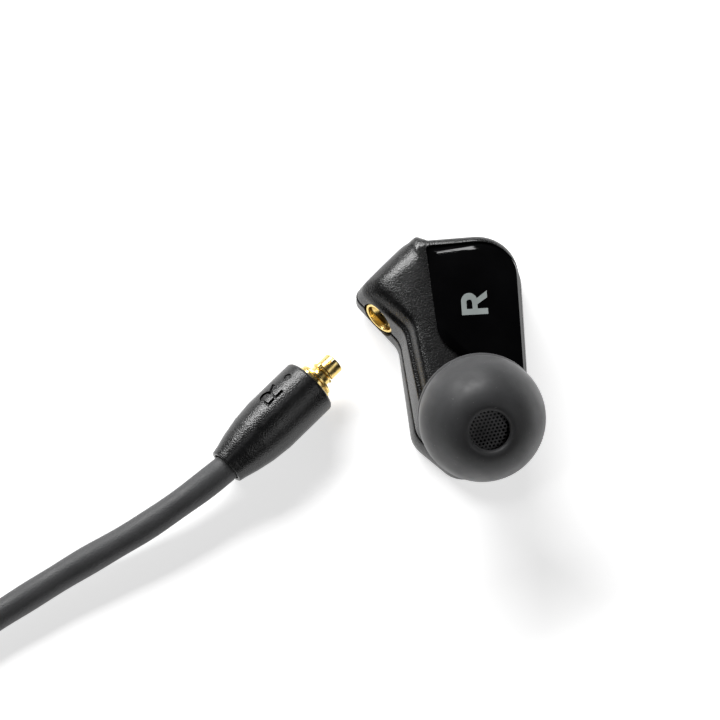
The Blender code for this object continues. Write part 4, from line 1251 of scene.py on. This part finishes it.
# --- camera, floor and light ---------------------------------------------------------------------
def make_camera():
    """Looks steeply down at the earpiece and the plug beside it."""
    data = bpy.data.cameras.new("camera")
    data.lens = 148.0
    data.sensor_width = 36.0
    data.clip_start = 0.01
    camera = bpy.data.objects.new("camera", data)
    target = Vector((-0.011, 0.0008, 0.0))
    elevation = radians(70.0)
    distance = 0.32
    camera.location = target + Vector((0.0, -cos(elevation), sin(elevation))) * distance
    camera.rotation_euler = (target - camera.location).to_track_quat("-Z", "Y").to_euler()
    bpy.context.scene.collection.objects.link(camera)
    bpy.context.scene.camera = camera


def make_floor():
    """A white sweep that glows a little, so that shadows on it stay pale."""
    material, _, _ = new_material("white_sweep", (0.8, 0.8, 0.8), 0.8, emission_color=(1.0, 1.0, 1.0, 1.0),
                                  emission_strength=0.66, specular_ior_level=0.0)
    mesh = bpy.data.meshes.new("floor")
    reach = 1.6
    corners = [(-reach, -reach, 0), (reach, -reach, 0), (reach, reach, 0), (-reach, reach, 0)]
    mesh.from_pydata(corners, [], [(0, 1, 2, 3)])
    link("floor", mesh, material)


def area_light(name, azimuth, elevation, distance, size, power):
    """A softbox seen from the middle of the scene at an azimuth from +X and an elevation."""
    data = bpy.data.lights.new(name, "AREA")
    data.shape = "RECTANGLE"
    data.size, data.size_y = size
    data.energy = power
    light = bpy.data.objects.new(name, data)
    turn = radians(azimuth)
    rise = radians(elevation)
    way = Vector((cos(turn) * cos(rise), sin(turn) * cos(rise), sin(rise)))
    light.location = way * distance
    light.rotation_euler = (-way).to_track_quat("-Z", "Y").to_euler()
    bpy.context.scene.collection.objects.link(light)


def make_lighting():
    """Bright round the horizon, dark overhead, a softbox at the upper left, a weak one at the right."""
    world = bpy.data.worlds.new("studio")
    world.use_nodes = True
    tree = world.node_tree
    background = tree.nodes["Background"]
    direction = tree.nodes.new("ShaderNodeTexCoord").outputs["Generated"]
    split = tree.nodes.new("ShaderNodeSeparateXYZ")
    wire(tree, direction, split.inputs[0])
    level = ramp(tree, split.outputs["Z"], low=0.05, high=0.26, to_low=1.6, to_high=0.02)
    wire(tree, level, background.inputs["Strength"])
    bpy.context.scene.world = world
    area_light("key", azimuth=118.0, elevation=36.5, distance=0.8, size=(0.68, 0.24), power=8.4)
    area_light("fill", azimuth=-30.0, elevation=45.0, distance=0.8, size=(0.5, 0.4), power=0.8)
    bpy.context.scene.view_settings.view_transform = "Standard"


def main():
    mats = make_materials()
    make_camera()
    make_splitter(mats)
    jack = make_jack(mats)
    barrel_end = SOCKET_CENTRE - PLUG_AXIS * PLUG_GAP
    make_plug("right", "right_plug", mats, barrel_end, PLUG_AXIS, 1)
    left_end = around_coil(LEFT_GUIDE_ROUTE)[-1] + LEFT_PLUG_HEADING * (BOOT_LENGTH + GOLD_LENGTH + 0.3)
    left_plug = make_plug("left", "cable", mats, left_end, LEFT_PLUG_HEADING, -1)
    make_cables(mats)
    make_slider(mats)
    make_tie(mats)
    make_housing(mats)
    make_nozzle(mats)
    make_ear_tip(mats)
    make_socket(mats)
    dress_inner_parts(mats)
    make_floor()
    make_lighting()


main()
